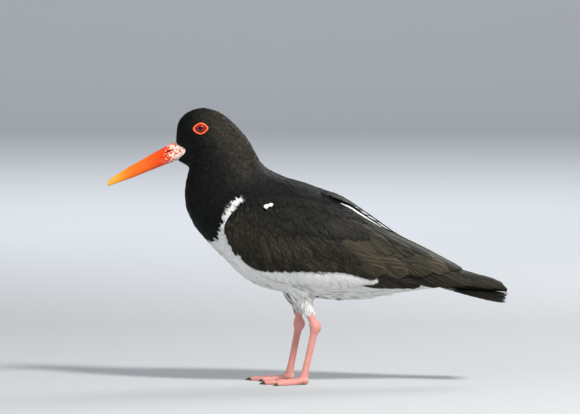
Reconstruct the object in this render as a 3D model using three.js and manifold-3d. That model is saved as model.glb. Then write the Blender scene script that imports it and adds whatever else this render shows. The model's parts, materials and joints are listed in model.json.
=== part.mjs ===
// A Eurasian oystercatcher, life size, standing at rest with its bill towards -X.
// Millimetres, +Z up. X runs along the body, Y across it, and the bird's left side is at -Y.

import * as THREE from "three";
import { mergeVertices } from "three/addons/utils/BufferGeometryUtils.js";
import Module from "manifold-3d";

const wasm = await Module();
wasm.setup();

// Sizes that hold for the whole bird

const GAP = 0.35; // left between pieces that touch
const LEFT = -1;
const RIGHT = 1;
const BODY_RINGS = 34;
const RING_SIDES = 22;
const ROUNDNESS = 0.94; // 1 gives elliptical sections, less gives squarer ones

// The body in side view, as [x, z] on the back, [x, z] on the throat or belly, and half the width.
const BODY = [
  { back: [-118.4, 217.8], belly: [-117.5, 200.3], half: 6.3 }, // root of the bill
  { back: [-115.7, 235.4], belly: [-109.4, 196.0], half: 13 }, // forehead
  { back: [-104.9, 245.3], belly: [-106.5, 193.1], half: 16 },
  { back: [-89.6, 247.5], belly: [-107.6, 187.2], half: 17.5 }, // crown and eyes
  { back: [-72.5, 239.9], belly: [-109.5, 179.1], half: 19.5 },
  { back: [-54.5, 221.4], belly: [-110.6, 169.2], half: 22.5 }, // nape
  { back: [-40.1, 198.9], belly: [-108.5, 153.9], half: 28 }, // foot of the neck
  { back: [-23.0, 188.1], belly: [-99.5, 136.8], half: 35 }, // shoulders
  { back: [0.5, 180.5], belly: [-78.8, 113.9], half: 42 },
  { back: [27.5, 169.7], belly: [-50.0, 90.0], half: 46 },
  { back: [54.5, 151.2], belly: [-6.8, 78.3], half: 45 }, // over the legs
  { back: [81.5, 132.3], belly: [38.3, 75.2], half: 37 },
  { back: [108.5, 117.0], belly: [79.7, 81.0], half: 25 }, // rump
  { back: [132.8, 104.0], belly: [115.7, 86.4], half: 14.5 },
];
const SHOULDER = 6; // the station where the bed of the wings starts
const HEAD_END = 4.55; // counted in stations, as every place along the body is
const NECK_END = 6.55;
const TORSO_END_X = 106;

// The bed that the folded wings lie on follows the body, and runs on past it to the wing tips.
const WING_BED = [
  ...BODY.slice(SHOULDER, SHOULDER + 6),
  { back: [108.5, 117.0], belly: [79.7, 77.4], half: 26 },
  { back: [132.8, 104.0], belly: [112.1, 74.7], half: 18.5 },
  { back: [156.2, 95.9], belly: [144.5, 71.1], half: 12.5 },
  { back: [173.3, 90.5], belly: [167.9, 72.0], half: 9 },
  { back: [180.9, 85.1], belly: [179.6, 72.0], half: 6.5 },
];

// The folded wing on its bed: the place along it, the angles of its upper and lower edges,
// counted in degrees from the back, and how deep it lies in the body's outline.
const WING = [
  { at: 1.12, top: 80, low: 102, depth: 3 },
  { at: 1.3, top: 66, low: 118, depth: 4.5 },
  { at: 2.0, top: 50, low: 135, depth: 6.5 },
  { at: 3.0, top: 38, low: 137, depth: 7 },
  { at: 4.0, top: 22, low: 129, depth: 7 },
  { at: 5.0, top: 3, low: 114, depth: 6 },
  { at: 6.0, top: 2, low: 112, depth: 5 },
  { at: 7.0, top: 2.5, low: 98, depth: 4.2 },
  { at: 8.0, top: 3, low: 85, depth: 3.4 },
  { at: 9.0, top: 4, low: 80, depth: 2.2 },
  { at: 9.85, top: 10, low: 60, depth: 1.2 },
];
const WING_SWELL = 2.2; // how far the folded wing stands proud of its bed
const VANE_THICKNESS = 0.6;

// The face narrows beside the bill's root, where the bare bill reaches back to the gape.
const LORES = { x: -112, z: 209, reach: 7, share: 0.5 };

// The bill, from inside the head to its tip.
const BILL = [
  { back: [-111.2, 221.0], belly: [-104.0, 203.5], half: 7.2 },
  { back: [-118.4, 217.8], belly: [-117.5, 200.3], half: 6.4 },
  { back: [-132.8, 210.2], belly: [-132.0, 195.0], half: 5.2 },
  { back: [-141.8, 205.2], belly: [-141.5, 191.2], half: 4.4 },
  { back: [-151.0, 199.8], belly: [-150.6, 187.6], half: 3.7 },
  { back: [-160.0, 194.8], belly: [-159.7, 184.0], half: 3.0 },
  { back: [-169.0, 189.3], belly: [-168.8, 180.9], half: 2.3 },
  { back: [-177.0, 183.9], belly: [-176.8, 178.0], half: 1.6 },
  { back: [-180.2, 180.6], belly: [-179.8, 177.9], half: 1.0 },
];
const BILL_GRID = { rings: 16, sides: 14 };
const MOUTH = [
  [-100.0, 215.6],
  [-112.0, 211.4],
  [-126.0, 205.6],
  [-142.0, 198.8],
  [-160.0, 189.4],
  [-184.0, 176.9],
];
const BILL_ROOT_END = new THREE.Vector3(-105, 0, 0); // where its flat root lies inside the head
const NOSTRIL = { x: -125.0, z: 208.6, y: 5.9, length: 8, height: 1.1, pitch: 22 };

// The eye, its socket and the ring of bare lids round it.
const EYE = { x: -95.9, y: 10.9, z: 229.5, radius: 6.2 };
const LID = { outerX: 6.5, outerZ: 4.9, innerX: 4.5, innerZ: 3.7, proud: 1.25, tilt: 6 };

// The folded tail: a core on a middle line [x, z] that droops and widens to both sides, and pairs
// of feathers that fan from its root, each pair a little lower and shorter than the one inside it.
const TAIL = {
  line: [[106, 92], [130, 86.6], [155, 82.6], [181, 79.2]],
  rootX: 106,
  endX: 181,
  rootHalf: 8,
  endHalf: 21,
  rootDroop: 2,
  endDroop: 5,
  coreLength: 38,
  coreDepth: 5.2,
  edgeDepth: 1.2,
  pairs: 6,
  width: 12.5,
  featherRootX: 116,
  tipX: 180.4,
  rootY: [1.2, 1.1], // of the middle pair, and more for each next pair
  tipY: [2.6, 3.1],
  height: [1.6, -0.62],
  shorter: 0.5,
};

// Each leg: points [x, y, z] down its middle, y counted outwards, and radii there.
const LEGS = {
  left: {
    side: LEFT,
    thigh: [[-10, 18, 100], [-6.5, 19, 86], [-2.3, 20, 75], [0.4, 20.6, 66.5]],
    heel: [7.0, 21.6, 51.4],
    foot: [-3.4, 22.6, 5.6],
    heading: 4,
  },
  right: {
    side: RIGHT,
    thigh: [[-15, 18, 100], [-12.5, 19, 86], [-10.0, 20, 75], [-8.4, 20.6, 66.5]],
    heel: [-7.4, 21.6, 51.8],
    foot: [-16.4, 22.6, 5.6],
    heading: -5,
  },
};
const THIGH_RADII = [15, 13, 6.8, 4.3];
const SHANK_RADIUS = 3.3;
const HEEL_SIZE = [5.5, 4.3, 6.6];
const TARSUS_RADII = [3.7, 3.1, 2.9, 3.2, 4.1];
const TOES = [
  { name: "inner", turn: -31, length: 26, claw: 5.2 },
  { name: "middle", turn: 0, length: 34, claw: 6.4 },
  { name: "outer", turn: 33, length: 29, claw: 5.4 },
];
const TOE_RADIUS = 2.7;
const TOE_TIP_RADIUS = 1.75;
const SOLE_CUT = 0.75; // how much of a toe's radius stays below its middle
const HEEL_CUT = 6.2; // from the middle of the heel up to the end of the shank
const ANKLE_CUT = 3.4; // from the middle of the foot up to the end of the tarsus
const PAD = { size: [5.2, 4.7, 4.2], ahead: 1.2, height: 3.4 };
const WEB = { reach: 12, top: 2.6, under: 1.3 };
const CLAW_RADII = [1.5, 1.05, 0.35];

// Materials

const paint = (color, roughness) =>
  new THREE.MeshStandardMaterial({ color, roughness, metalness: 0 });
const FINISH = {
  black: paint(0x14161a, 0.6),
  brownBlack: paint(0x2a2621, 0.62),
  white: paint(0xe9e9e4, 0.75),
  bill: paint(0xf25a1c, 0.38),
  eye: paint(0xa5121a, 0.08),
  lid: paint(0xf0481c, 0.42),
  leg: paint(0xe08f84, 0.5),
  claw: paint(0x3b322d, 0.4),
};

// Small helpers for places and curves

const rad = THREE.MathUtils.degToRad;
const clamp = THREE.MathUtils.clamp;
const signedPower = (value, power) => Math.sign(value) * Math.abs(value) ** power;

function curveOf(rows) {
  const points = rows.map((row) => new THREE.Vector3(...row));
  return new THREE.CatmullRomCurve3(points, false, "catmullrom", 0.5);
}

// Straight interpolation of named columns in a table whose rows have a rising key.
function lookUp(table, key, value, column) {
  const last = table.length - 1;
  const found = table.findIndex((row) => row[key] > value);
  const next = found < 0 ? last : Math.max(found, 1);
  const [a, b] = [table[next - 1], table[next]];
  const share = clamp((value - a[key]) / (b[key] - a[key]), 0, 1);
  return a[column] + (b[column] - a[column]) * share;
}

// A loft through stations. Its point() takes a place counted in stations, an angle from the back
// and a height above the surface, on the left side for angles up to 180 degrees.
function loftOf(stations) {
  const back = curveOf(stations.map(({ back: [x, z] }) => [x, 0, z]));
  const belly = curveOf(stations.map(({ belly: [x, z] }) => [x, 0, z]));
  const half = curveOf(stations.map((row) => [row.half, 0, 0]));
  const last = stations.length - 1;
  const point = (at, degrees, height = 0) => {
    const share = clamp(at / last, 0, 1);
    const top = back.getPoint(share);
    const low = belly.getPoint(share);
    const middle = top.clone().add(low).multiplyScalar(0.5);
    const up = top.clone().sub(low);
    const reach = up.length() / 2 + height;
    const across = half.getPoint(share).x + height;
    const angle = rad(degrees);
    middle.addScaledVector(up.normalize(), reach * signedPower(Math.cos(angle), ROUNDNESS));
    middle.y = -across * signedPower(Math.sin(angle), ROUNDNESS);
    return middle;
  };
  const line = (at) => [back.getPoint(at / last), belly.getPoint(at / last)];
  return { point, line, last };
}

// The outward normal of a loft's surface.
function normalAt(loft, at, degrees) {
  const step = 0.02;
  const along = loft.point(Math.min(at + step, loft.last), degrees);
  along.sub(loft.point(Math.max(at - step, 0), degrees));
  const round = loft.point(at, degrees + 1).sub(loft.point(at, degrees - 1));
  return round.cross(along).normalize();
}

// Solids

function solidOf(points, triangles) {
  const vertProperties = new Float32Array(points.flatMap((p) => [p.x, p.y, p.z]));
  const made = (faces) =>
    new wasm.Manifold(
      new wasm.Mesh({ numProp: 3, vertProperties, triVerts: new Uint32Array(faces.flat()) }),
    );
  const first = made(triangles);
  return first.volume() > 0 ? first : made(triangles.map(([a, b, c]) => [a, c, b]));
}

function solidFromGeometry(geometry, matrix) {
  const plain = geometry.clone();
  plain.deleteAttribute("normal");
  plain.deleteAttribute("uv");
  if (matrix) plain.applyMatrix4(matrix);
  const merged = mergeVertices(plain, 1e-4);
  return new wasm.Manifold(
    new wasm.Mesh({
      numProp: 3,
      vertProperties: merged.attributes.position.array,
      triVerts: new Uint32Array(merged.index.array),
    }),
  );
}

// A closed solid through rings of points, with its two ends capped.
function ringSolid(rings) {
  const sides = rings[0].length;
  const points = rings.flat();
  const faces = [];
  rings.slice(1).forEach((_, i) => {
    for (let j = 0; j < sides; j++) {
      const [a, b] = [i * sides + j, i * sides + ((j + 1) % sides)];
      faces.push([a, b, a + sides], [b, b + sides, a + sides]);
    }
  });
  const cap = (start, flip) => {
    const ring = points.slice(start, start + sides);
    const middle = ring.reduce((sum, p) => sum.add(p), new THREE.Vector3());
    const centre = points.push(middle.divideScalar(sides)) - 1;
    for (let j = 0; j < sides; j++) {
      const [a, b] = [start + j, start + ((j + 1) % sides)];
      faces.push(flip ? [a, centre, b] : [a, b, centre]);
    }
  };
  cap(0, true);
  cap((rings.length - 1) * sides, false);
  return solidOf(points, faces);
}

// A closed solid between two sheets of points with the same rows and columns.
function sheetSolid(outer, inner) {
  const columns = outer[0].length;
  const rows = outer.length;
  const points = [...outer.flat(), ...inner.flat()];
  const shift = rows * columns;
  const faces = [];
  const wall = (a, b) => faces.push([a, b, a + shift], [b, b + shift, a + shift]);
  for (let i = 0; i < rows - 1; i++) {
    for (let j = 0; j < columns - 1; j++) {
      const a = i * columns + j;
      const [b, c, d] = [a + 1, a + columns, a + columns + 1];
      faces.push([a, c, b], [b, c, d]);
      faces.push([a + shift, b + shift, c + shift], [b + shift, d + shift, c + shift]);
    }
    wall((i + 1) * columns, i * columns);
    wall((i + 1) * columns - 1, (i + 2) * columns - 1);
  }
  for (let j = 0; j < columns - 1; j++) {
    wall(j, j + 1);
    wall((rows - 1) * columns + j + 1, (rows - 1) * columns + j);
  }
  return solidOf(points, faces);
}

// The part of space on the far side of a plane, as a very large box.
function halfSpace(point, direction) {
  const size = 900;
  const upright = new THREE.Vector3(0, 1, 0.01);
  const matrix = new THREE.Matrix4().lookAt(new THREE.Vector3(), direction, upright);
  matrix.setPosition(point.clone().addScaledVector(direction, size / 2));
  return solidFromGeometry(new THREE.BoxGeometry(size, size, size), matrix);
}

const sphere = ({ x, z }, y, radius, sides = 16) =>
  solidFromGeometry(
    new THREE.SphereGeometry(radius, sides, Math.round(sides * 0.6)),
    new THREE.Matrix4().makeRotationX(Math.PI / 2).setPosition(x, y, z),
  );

function largest(solid) {
  return solid.decompose().sort((a, b) => b.volume() - a.volume())[0];
}

const joined = (solids) => largest(solids.reduce((whole, piece) => whole.add(piece)));

// A limb of rings round a path of points, with a radius at each point and a share of flatness.
function limb(path, radii, { sides = 12, steps = 10, flat = 1 } = {}) {
  const curve = curveOf(path);
  const widths = curveOf(radii.map((radius) => [radius, 0, 0]));
  const rings = [];
  for (let i = 0; i <= steps; i++) {
    const share = i / steps;
    const centre = curve.getPoint(share);
    const tangent = curve.getTangent(share).normalize();
    const across = new THREE.Vector3(0, 1, 0).cross(tangent).normalize();
    const side = tangent.clone().cross(across).normalize();
    const radius = widths.getPoint(share).x;
    const ring = [];
    for (let j = 0; j < sides; j++) {
      const angle = (j / sides) * Math.PI * 2;
      const p = centre.clone().addScaledVector(across, radius * Math.cos(angle));
      ring.push(p.addScaledVector(side, radius * flat * Math.sin(angle)));
    }
    rings.push(ring);
  }
  return ringSolid(rings);
}

// Head, neck and torso

const body = loftOf(BODY);
const wingBed = loftOf(WING_BED);
const billLoft = loftOf(BILL);

// Pulls the face in beside the bill.
function narrowLores(point) {
  const distance = Math.hypot(point.x - LORES.x, point.z - LORES.z) / LORES.reach;
  point.y *= 1 - LORES.share * Math.exp(-0.5 * distance * distance);
  return point;
}

function loftSolid(loft, { rings, sides, height = 0, shape = (p) => p }) {
  const all = [];
  for (let i = 0; i <= rings; i++) {
    const at = (i / rings) * loft.last;
    const ring = [];
    for (let j = 0; j < sides; j++) ring.push(shape(loft.point(at, (j / sides) * 360, height)));
    all.push(ring);
  }
  return ringSolid(all);
}

const bodySolid = (height) =>
  loftSolid(body, { rings: BODY_RINGS, sides: RING_SIDES, height, shape: narrowLores });

// The two sides of a thin cut along the body's section at a place.
function cutAt(at) {
  const [top, low] = body.line(at);
  const middle = top.clone().add(low).multiplyScalar(0.5);
  const slope = top.clone().sub(low);
  const back = new THREE.Vector3(slope.z, 0, -slope.x).normalize();
  const shifted = (share) => middle.clone().addScaledVector(back, (share * GAP) / 2);
  return {
    before: halfSpace(shifted(-1), back.clone().negate()),
    after: halfSpace(shifted(1), back),
  };
}

// The folded wing

const wingTop = (at) => lookUp(WING, "at", at, "top");
const wingLow = (at) => lookUp(WING, "at", at, "low");
const wingDepth = (at) => lookUp(WING, "at", at, "depth");
const WING_START = WING[0].at;
const WING_END = WING[WING.length - 1].at;

// How far the wing's own surface stands above its bed: most half way down, least at its edges.
function wingSwell(at, degrees) {
  const [top, low] = [wingTop(at), wingLow(at)];
  const share = clamp((degrees - top) / (low - top), 0, 1);
  const fade = Math.min(1, (WING_END - at) / 1.5 + 0.25);
  return 0.3 + WING_SWELL * fade * Math.sin(Math.PI * share) ** 0.7;
}

// Two sheets over the wing, with one more row and column round them where they are spread.
function wingSheets({ spread = 0, outside, inside }) {
  const { rows, columns } = WING_GRID;
  const alongs = Array.from({ length: rows + 1 }, (_, i) => i / rows).map(
    (share) => WING_START + share * (WING_END - WING_START),
  );
  const shares = Array.from({ length: columns + 1 }, (_, j) => j / columns);
  const degreesAt = (at) => shares.map((share) => wingTop(at) + share * (wingLow(at) - wingTop(at)));
  if (spread) {
    alongs.unshift(WING_START - 0.02);
    alongs.push(WING_END + 0.03);
  }
  const sheet = (heightAt) =>
    alongs.map((along) => {
      const at = clamp(along, WING_START, WING_END);
      const angles = degreesAt(at);
      const wider = spread ? [angles[0] - spread, ...angles, angles[columns] + spread] : angles;
      return wider.map((degrees) => wingBed.point(along, degrees, heightAt(at, degrees)));
    });
  return sheetSolid(sheet(outside), sheet(inside));
}

const WING_GRID = { rows: 14, columns: 6 };
const wingShell = () => wingSheets({ outside: wingSwell, inside: (at) => -wingDepth(at) });
const POCKET_HEIGHT = 4.5; // above the bed, so that no sliver of the body stays outside the wing
const wingPocket = () =>
  wingSheets({ spread: 2, outside: () => POCKET_HEIGHT, inside: (at) => -wingDepth(at) - GAP });

const mirrored = (solid) => {
  const { points, triangles } = meshArrays(solid);
  return solidOf(points.map((p) => new THREE.Vector3(p.x, -p.y, p.z)), triangles);
};

function meshArrays(solid) {
  const { vertProperties, triVerts, numProp } = solid.getMesh();
  const points = [];
  for (let i = 0; i < vertProperties.length; i += numProp) {
    points.push(new THREE.Vector3(...vertProperties.subarray(i, i + 3)));
  }
  const triangles = [];
  for (let i = 0; i < triVerts.length; i += 3) triangles.push([...triVerts.subarray(i, i + 3)]);
  return { points, triangles };
}

// Eye, lids and bill

function almond(halfX, halfZ) {
  const shape = new THREE.Shape();
  shape.moveTo(-halfX, 0);
  shape.bezierCurveTo(-halfX * 0.55, halfZ * 1.15, halfX * 0.5, halfZ * 1.45, halfX, 0.1 * halfZ);
  shape.bezierCurveTo(halfX * 0.5, -halfZ * 1.3, -halfX * 0.5, -halfZ * 1.45, -halfX, 0);
  const depth = 30;
  const geometry = new THREE.ExtrudeGeometry(shape, { depth, bevelEnabled: false, curveSegments: 4 });
  const matrix = new THREE.Matrix4().makeTranslation(EYE.x, 0, EYE.z);
  matrix.multiply(new THREE.Matrix4().makeRotationX(Math.PI / 2));
  matrix.multiply(new THREE.Matrix4().makeRotationZ(rad(LID.tilt)));
  return solidFromGeometry(geometry, matrix);
}

const outwards = halfSpace(new THREE.Vector3(0, -EYE.y, 0), new THREE.Vector3(0, -1, 0));

function lidRing(extra) {
  const outer = almond(LID.outerX + extra, LID.outerZ + extra);
  return sphere(EYE, -EYE.y, EYE.radius + LID.proud + extra).intersect(outer).intersect(outwards);
}

function eyeParts() {
  const ball = sphere(EYE, -EYE.y, EYE.radius);
  const lid = lidRing(0)
    .subtract(almond(LID.innerX, LID.innerZ))
    .subtract(sphere(EYE, -EYE.y, EYE.radius + GAP));
  return { ball, lid: largest(lid) };
}

function mouthSlit() {
  const shape = new THREE.Shape();
  const half = GAP / 2;
  MOUTH.forEach(([x, z], i) => (i ? shape.lineTo(x, z + half) : shape.moveTo(x, z + half)));
  [...MOUTH].reverse().forEach(([x, z]) => shape.lineTo(x, z - half));
  const geometry = new THREE.ExtrudeGeometry(shape, { depth: 40, bevelEnabled: false });
  const matrix = new THREE.Matrix4().makeRotationX(Math.PI / 2).setPosition(0, 20, 0);
  return solidFromGeometry(geometry, matrix);
}

function nostrils(bill) {
  return [LEFT, RIGHT].reduce((cut, side) => {
    const geometry = new THREE.SphereGeometry(0.5, 8, 6);
    const matrix = new THREE.Matrix4().makeTranslation(NOSTRIL.x, side * NOSTRIL.y, NOSTRIL.z);
    matrix.multiply(new THREE.Matrix4().makeRotationY(rad(-NOSTRIL.pitch)));
    matrix.scale(new THREE.Vector3(NOSTRIL.length, 2.6, NOSTRIL.height));
    return cut.subtract(solidFromGeometry(geometry, matrix));
  }, bill);
}

function billParts(headCut) {
  const whole = nostrils(loftSolid(billLoft, BILL_GRID));
  const visible = whole.subtract(headCut);
  const halves = visible.subtract(mouthSlit()).decompose();
  const byHeight = halves
    .sort((a, b) => b.volume() - a.volume())
    .slice(0, 2)
    .sort((a, b) => b.boundingBox().max[2] - a.boundingBox().max[2]);
  return { upper: byHeight[0], lower: byHeight[1] };
}

// Legs

function legParts(leg, bodyGrown) {
  const place = ([x, y, z]) => [x, leg.side * y, z];
  const thighPath = leg.thigh.map(place);
  const knee = thighPath[thighPath.length - 1];
  const heel = place(leg.heel);
  const foot = place(leg.foot);
  const kneePoint = new THREE.Vector3(...knee);
  const heelPoint = new THREE.Vector3(...heel);
  const down = heelPoint.clone().sub(kneePoint).normalize();
  const thighEnd = kneePoint.clone().addScaledVector(down, -GAP / 2);
  const shankStart = kneePoint.clone().addScaledVector(down, GAP / 2);
  const heelTop = heelPoint.clone().addScaledVector(down, -HEEL_CUT);

  const thigh = limb(thighPath, THIGH_RADII, { sides: 14, steps: 9, flat: 0.85 })
    .intersect(halfSpace(thighEnd, down.clone().negate()))
    .subtract(bodyGrown);
  const shankPath = [knee, heelPoint.toArray()];
  const shank = limb(shankPath, [SHANK_RADIUS, SHANK_RADIUS + 0.3], { sides: 12, steps: 5, flat: 0.9 })
    .intersect(halfSpace(shankStart, down))
    .intersect(halfSpace(heelTop.clone().addScaledVector(down, -GAP / 2), down.clone().negate()));

  const knob = solidFromGeometry(
    new THREE.SphereGeometry(1, 12, 8),
    new THREE.Matrix4().makeScale(...HEEL_SIZE).setPosition(...heel),
  ).intersect(halfSpace(heelTop.clone().addScaledVector(down, GAP / 2), down));
  const between = (share) => heel.map((v, i) => v + (foot[i] - v) * share);
  const tarsusPath = [heel, between(0.2), between(0.55), between(0.85), foot];
  const toFoot = new THREE.Vector3(...foot).sub(heelPoint).normalize();
  const ankle = new THREE.Vector3(...foot).addScaledVector(toFoot, -ANKLE_CUT);
  const tarsus = limb(tarsusPath, TARSUS_RADII, { sides: 9, steps: 9, flat: 0.82 })
    .add(knob)
    .intersect(halfSpace(ankle.clone().addScaledVector(toFoot, -GAP / 2), toFoot.clone().negate()));

  const toes = TOES.map((toe) => toeParts(toe, leg, foot));
  const instep = limb(
    [ankle.clone().addScaledVector(toFoot, -2).toArray(), foot],
    [TARSUS_RADII[4], TARSUS_RADII[4]],
    { sides: 10, steps: 4, flat: 0.9 },
  ).intersect(halfSpace(ankle.clone().addScaledVector(toFoot, GAP / 2), toFoot));
  const pad = solidFromGeometry(
    new THREE.SphereGeometry(1, 10, 6),
    new THREE.Matrix4().makeScale(...PAD.size).setPosition(foot[0] - PAD.ahead, foot[1], PAD.height),
  );
  const web = webBetween(toes[1], toes[2], foot);
  const floor = halfSpace(new THREE.Vector3(0, 0, 0), new THREE.Vector3(0, 0, 1));
  const sole = joined([instep, pad, web, ...toes.map((toe) => toe.solid)]).intersect(floor);
  return {
    thigh: largest(thigh),
    shank: largest(shank),
    tarsus: largest(tarsus),
    foot: largest(sole),
    claws: toes.map((toe) => largest(toe.claw.intersect(floor))),
  };
}

// A toe with its swollen joints, and the claw that goes on from its tip.
function toeParts(toe, leg, foot) {
  const heading = rad(180 + leg.heading + toe.turn * leg.side * -1);
  const forward = new THREE.Vector3(Math.cos(heading), Math.sin(heading), 0);
  const centre = TOE_RADIUS * SOLE_CUT;
  const start = new THREE.Vector3(foot[0], foot[1], 4.4);
  const onFloor = (distance, height) =>
    start.clone().addScaledVector(forward, distance).setZ(height).toArray();
  const tipHeight = TOE_TIP_RADIUS * SOLE_CUT;
  const path = [start.toArray(), onFloor(6, centre + 0.8)];
  const radii = [3.3, TOE_RADIUS];
  for (const share of [0.4, 0.55, 0.7, 0.85, 1]) {
    path.push(onFloor(toe.length * share, centre + (tipHeight - centre) * share));
    const swollen = share === 0.55 || share === 0.85 ? 0.3 : 0;
    radii.push(TOE_RADIUS + (TOE_TIP_RADIUS - TOE_RADIUS) * share + swollen);
  }
  const clawStart = new THREE.Vector3(...onFloor(toe.length, tipHeight));
  const solid = limb(path, radii, { sides: 7, steps: 7, flat: 1.08 }).intersect(
    halfSpace(clawStart.clone().addScaledVector(forward, -GAP / 2), forward.clone().negate()),
  );
  const clawPath = [0, 0.5, 1].map((share) =>
    onFloor(toe.length + toe.claw * share, tipHeight + 0.5 * Math.sin(Math.PI * share) - 0.5 * share),
  );
  const claw = limb(clawPath, CLAW_RADII, { sides: 6, steps: 4 }).intersect(
    halfSpace(clawStart.clone().addScaledVector(forward, GAP / 2), forward),
  );
  return { name: toe.name, solid, claw, forward, length: toe.length };
}

// The short skin between the middle and the outer toe.
function webBetween(first, second, foot) {
  const corner = (toe, share, z) =>
    new THREE.Vector3(foot[0], foot[1], z).addScaledVector(toe.forward, WEB.reach * share);
  const sheet = (z) => [
    [corner(first, 0.1, z), corner(second, 0.1, z)],
    [corner(first, 0.6, z), corner(second, 0.6, z)],
    [corner(first, 1, z), corner(second, 1, z)],
  ];
  return sheetSolid(sheet(WEB.top), sheet(WEB.under));
}

// The tail

const tailLine = curveOf(TAIL.line.map(([x, z]) => [x, 0, z]));
const tailShare = (x) => clamp((x - TAIL.rootX) / (TAIL.endX - TAIL.rootX), 0, 1);
const tailHalfWidth = (x) => TAIL.rootHalf + tailShare(x) * (TAIL.endHalf - TAIL.rootHalf);

function tailPoint(x, y) {
  const share = tailShare(x);
  const droop = TAIL.rootDroop + (TAIL.endDroop - TAIL.rootDroop) * share;
  const across = y / TAIL.endHalf;
  return new THREE.Vector3(x, y, tailLine.getPoint(share).z - droop * across * across);
}

function tailCore() {
  const [steps, columns] = [5, 4];
  const upper = [];
  const under = [];
  for (let i = 0; i <= steps; i++) {
    const x = TAIL.rootX + (GAP + (i / steps) * TAIL.coreLength);
    const half = tailHalfWidth(x) * 0.92;
    const depth = TAIL.coreDepth * (1 - i / steps) ** 0.8 + TAIL.edgeDepth;
    const line = Array.from({ length: columns + 1 }, (_, j) => {
      const y = -half + (j / columns) * 2 * half;
      const rounding = Math.sqrt(Math.max(0, 1 - (y / half) ** 2)) * 0.75 + 0.25;
      return { p: tailPoint(x, y), depth: depth * rounding };
    });
    upper.push(line.map((spot) => spot.p.clone().setZ(spot.p.z + 0.3 * spot.depth)));
    under.push(line.map((spot) => spot.p.clone().setZ(spot.p.z - 0.9 * spot.depth)));
  }
  return sheetSolid(upper, under);
}

// Feathers

// A flat vane along frames of point, normal and across, with half its width at each.
function vane(frames, halfWidths, thickness = VANE_THICKNESS) {
  const outer = frames.map(({ point, across }, i) =>
    [-1, 1].map((side) => point.clone().addScaledVector(across, side * halfWidths[i])),
  );
  const inner = outer.map((row, i) =>
    row.map((p) => p.clone().addScaledVector(frames[i].normal, -thickness)),
  );
  return sheetSolid(outer, inner);
}

const COVERT_SHAPE = [0.6, 1, 0.94, 0.34];
const QUILL_SHAPE = [0.6, 0.95, 1, 0.9, 0.3];

// The place on the wing's bed, as [station, degrees], that a point of the side view falls on.
function placeOf([x, z]) {
  const sideOf = (at) => {
    const [top, low] = wingBed.line(at);
    return (low.x - top.x) * (z - top.z) - (low.z - top.z) * (x - top.x);
  };
  let [near, far] = [0, wingBed.last];
  for (let i = 0; i < 24; i++) {
    const at = (near + far) / 2;
    if (sideOf(at) > 0) near = at;
    else far = at;
  }
  const [top, low] = wingBed.line(near);
  const share = ((top.x - x) * (top.x - low.x) + (top.z - z) * (top.z - low.z)) / top.distanceToSquared(low);
  const height = clamp(1 - 2 * share, -0.999, 0.999);
  return [near, THREE.MathUtils.radToDeg(Math.acos(signedPower(height, 1 / ROUNDNESS)))];
}

// A feather on the wing from one [x, z] of the side view to another. It starts sunk in the wing and
// ends above it, rolled so that the next feather's lower edge lies over its upper one.
function wingFeather({ root, tip, width, shape = COVERT_SHAPE, rise = 1.3, sunk = 1.2, roll = 8 }) {
  const last = shape.length - 1;
  const places = shape.map((_, i) => {
    const share = i / last;
    const spot = [0, 1].map((axis) => root[axis] + (tip[axis] - root[axis]) * share);
    const [at, degrees] = placeOf(spot);
    const height = wingSwell(at, degrees) - sunk + (sunk + rise) * share ** 0.6;
    return { at, degrees, point: wingBed.point(at, degrees, height) };
  });
  const frames = places.map(({ at, degrees, point }, i) => {
    const ahead = places[Math.min(i + 1, last)].point.clone();
    const tangent = ahead.sub(places[Math.max(i - 1, 0)].point).normalize();
    const normal = normalAt(wingBed, at, degrees);
    normal.addScaledVector(tangent, -normal.dot(tangent)).normalize();
    normal.applyAxisAngle(tangent, rad(-roll));
    return { point, normal, across: tangent.clone().cross(normal).normalize() };
  });
  return vane(frames, shape.map((share) => (share * width) / 2));
}

// Rows of feathers on the wing in side view: the tips lie along a curve, and each root lies
// up and forward of its tip by a reach that changes from the row's first feather to its last.
const FEATHER_ROWS = [
  {
    name: "greater coverts", count: 9, width: 14,
    tips: [[-39, 99], [-14, 92.5], [12, 90], [38, 88], [63, 92.5]],
    reach: [[-17, 19], [-25, 13]],
  },
  {
    name: "median coverts", count: 6, width: 15,
    tips: [[-46, 115], [-24, 105], [4, 101.5], [30, 100], [56, 103]],
    reach: [[-14, 20], [-25, 14]],
  },
  {
    name: "scapulars", count: 4, width: 17,
    tips: [[-12, 146], [12, 138], [36, 133], [58, 128]],
    reach: [[-24, 19], [-34, 22]],
  },
  {
    name: "secondaries", count: 3, width: 12, shape: QUILL_SHAPE,
    tips: [[78, 89.5], [92, 89], [107, 88.5]],
    reach: [[-40, 14], [-44, 15]],
  },
  {
    name: "primaries", count: 5, width: 10, shape: QUILL_SHAPE, sunk: 1.0, rise: 0.9,
    tips: [[131, 87], [152, 87.5], [180.2, 84.3]],
    reach: [[-52, 14], [-60, 20]],
  },
  {
    name: "tertials", count: 4, width: 16, shape: QUILL_SHAPE, rise: 1.7,
    tips: [[88, 99], [112, 100], [136, 99.5]],
    reach: [[-46, 22], [-60, 30]],
  },
];

function rowFeathers({ count, tips, reach, ...look }) {
  const tipCurve = curveOf(tips.map(([x, z]) => [x, 0, z]));
  return Array.from({ length: count }, (_, i) => {
    const share = i / (count - 1);
    const { x, z } = tipCurve.getPoint(share);
    const back = [0, 1].map((axis) => reach[0][axis] + (reach[1][axis] - reach[0][axis]) * share);
    return wingFeather({ root: [x + back[0], z + back[1]], tip: [x, z], ...look });
  });
}

const wingFeathers = () => FEATHER_ROWS.flatMap(rowFeathers);

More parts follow.
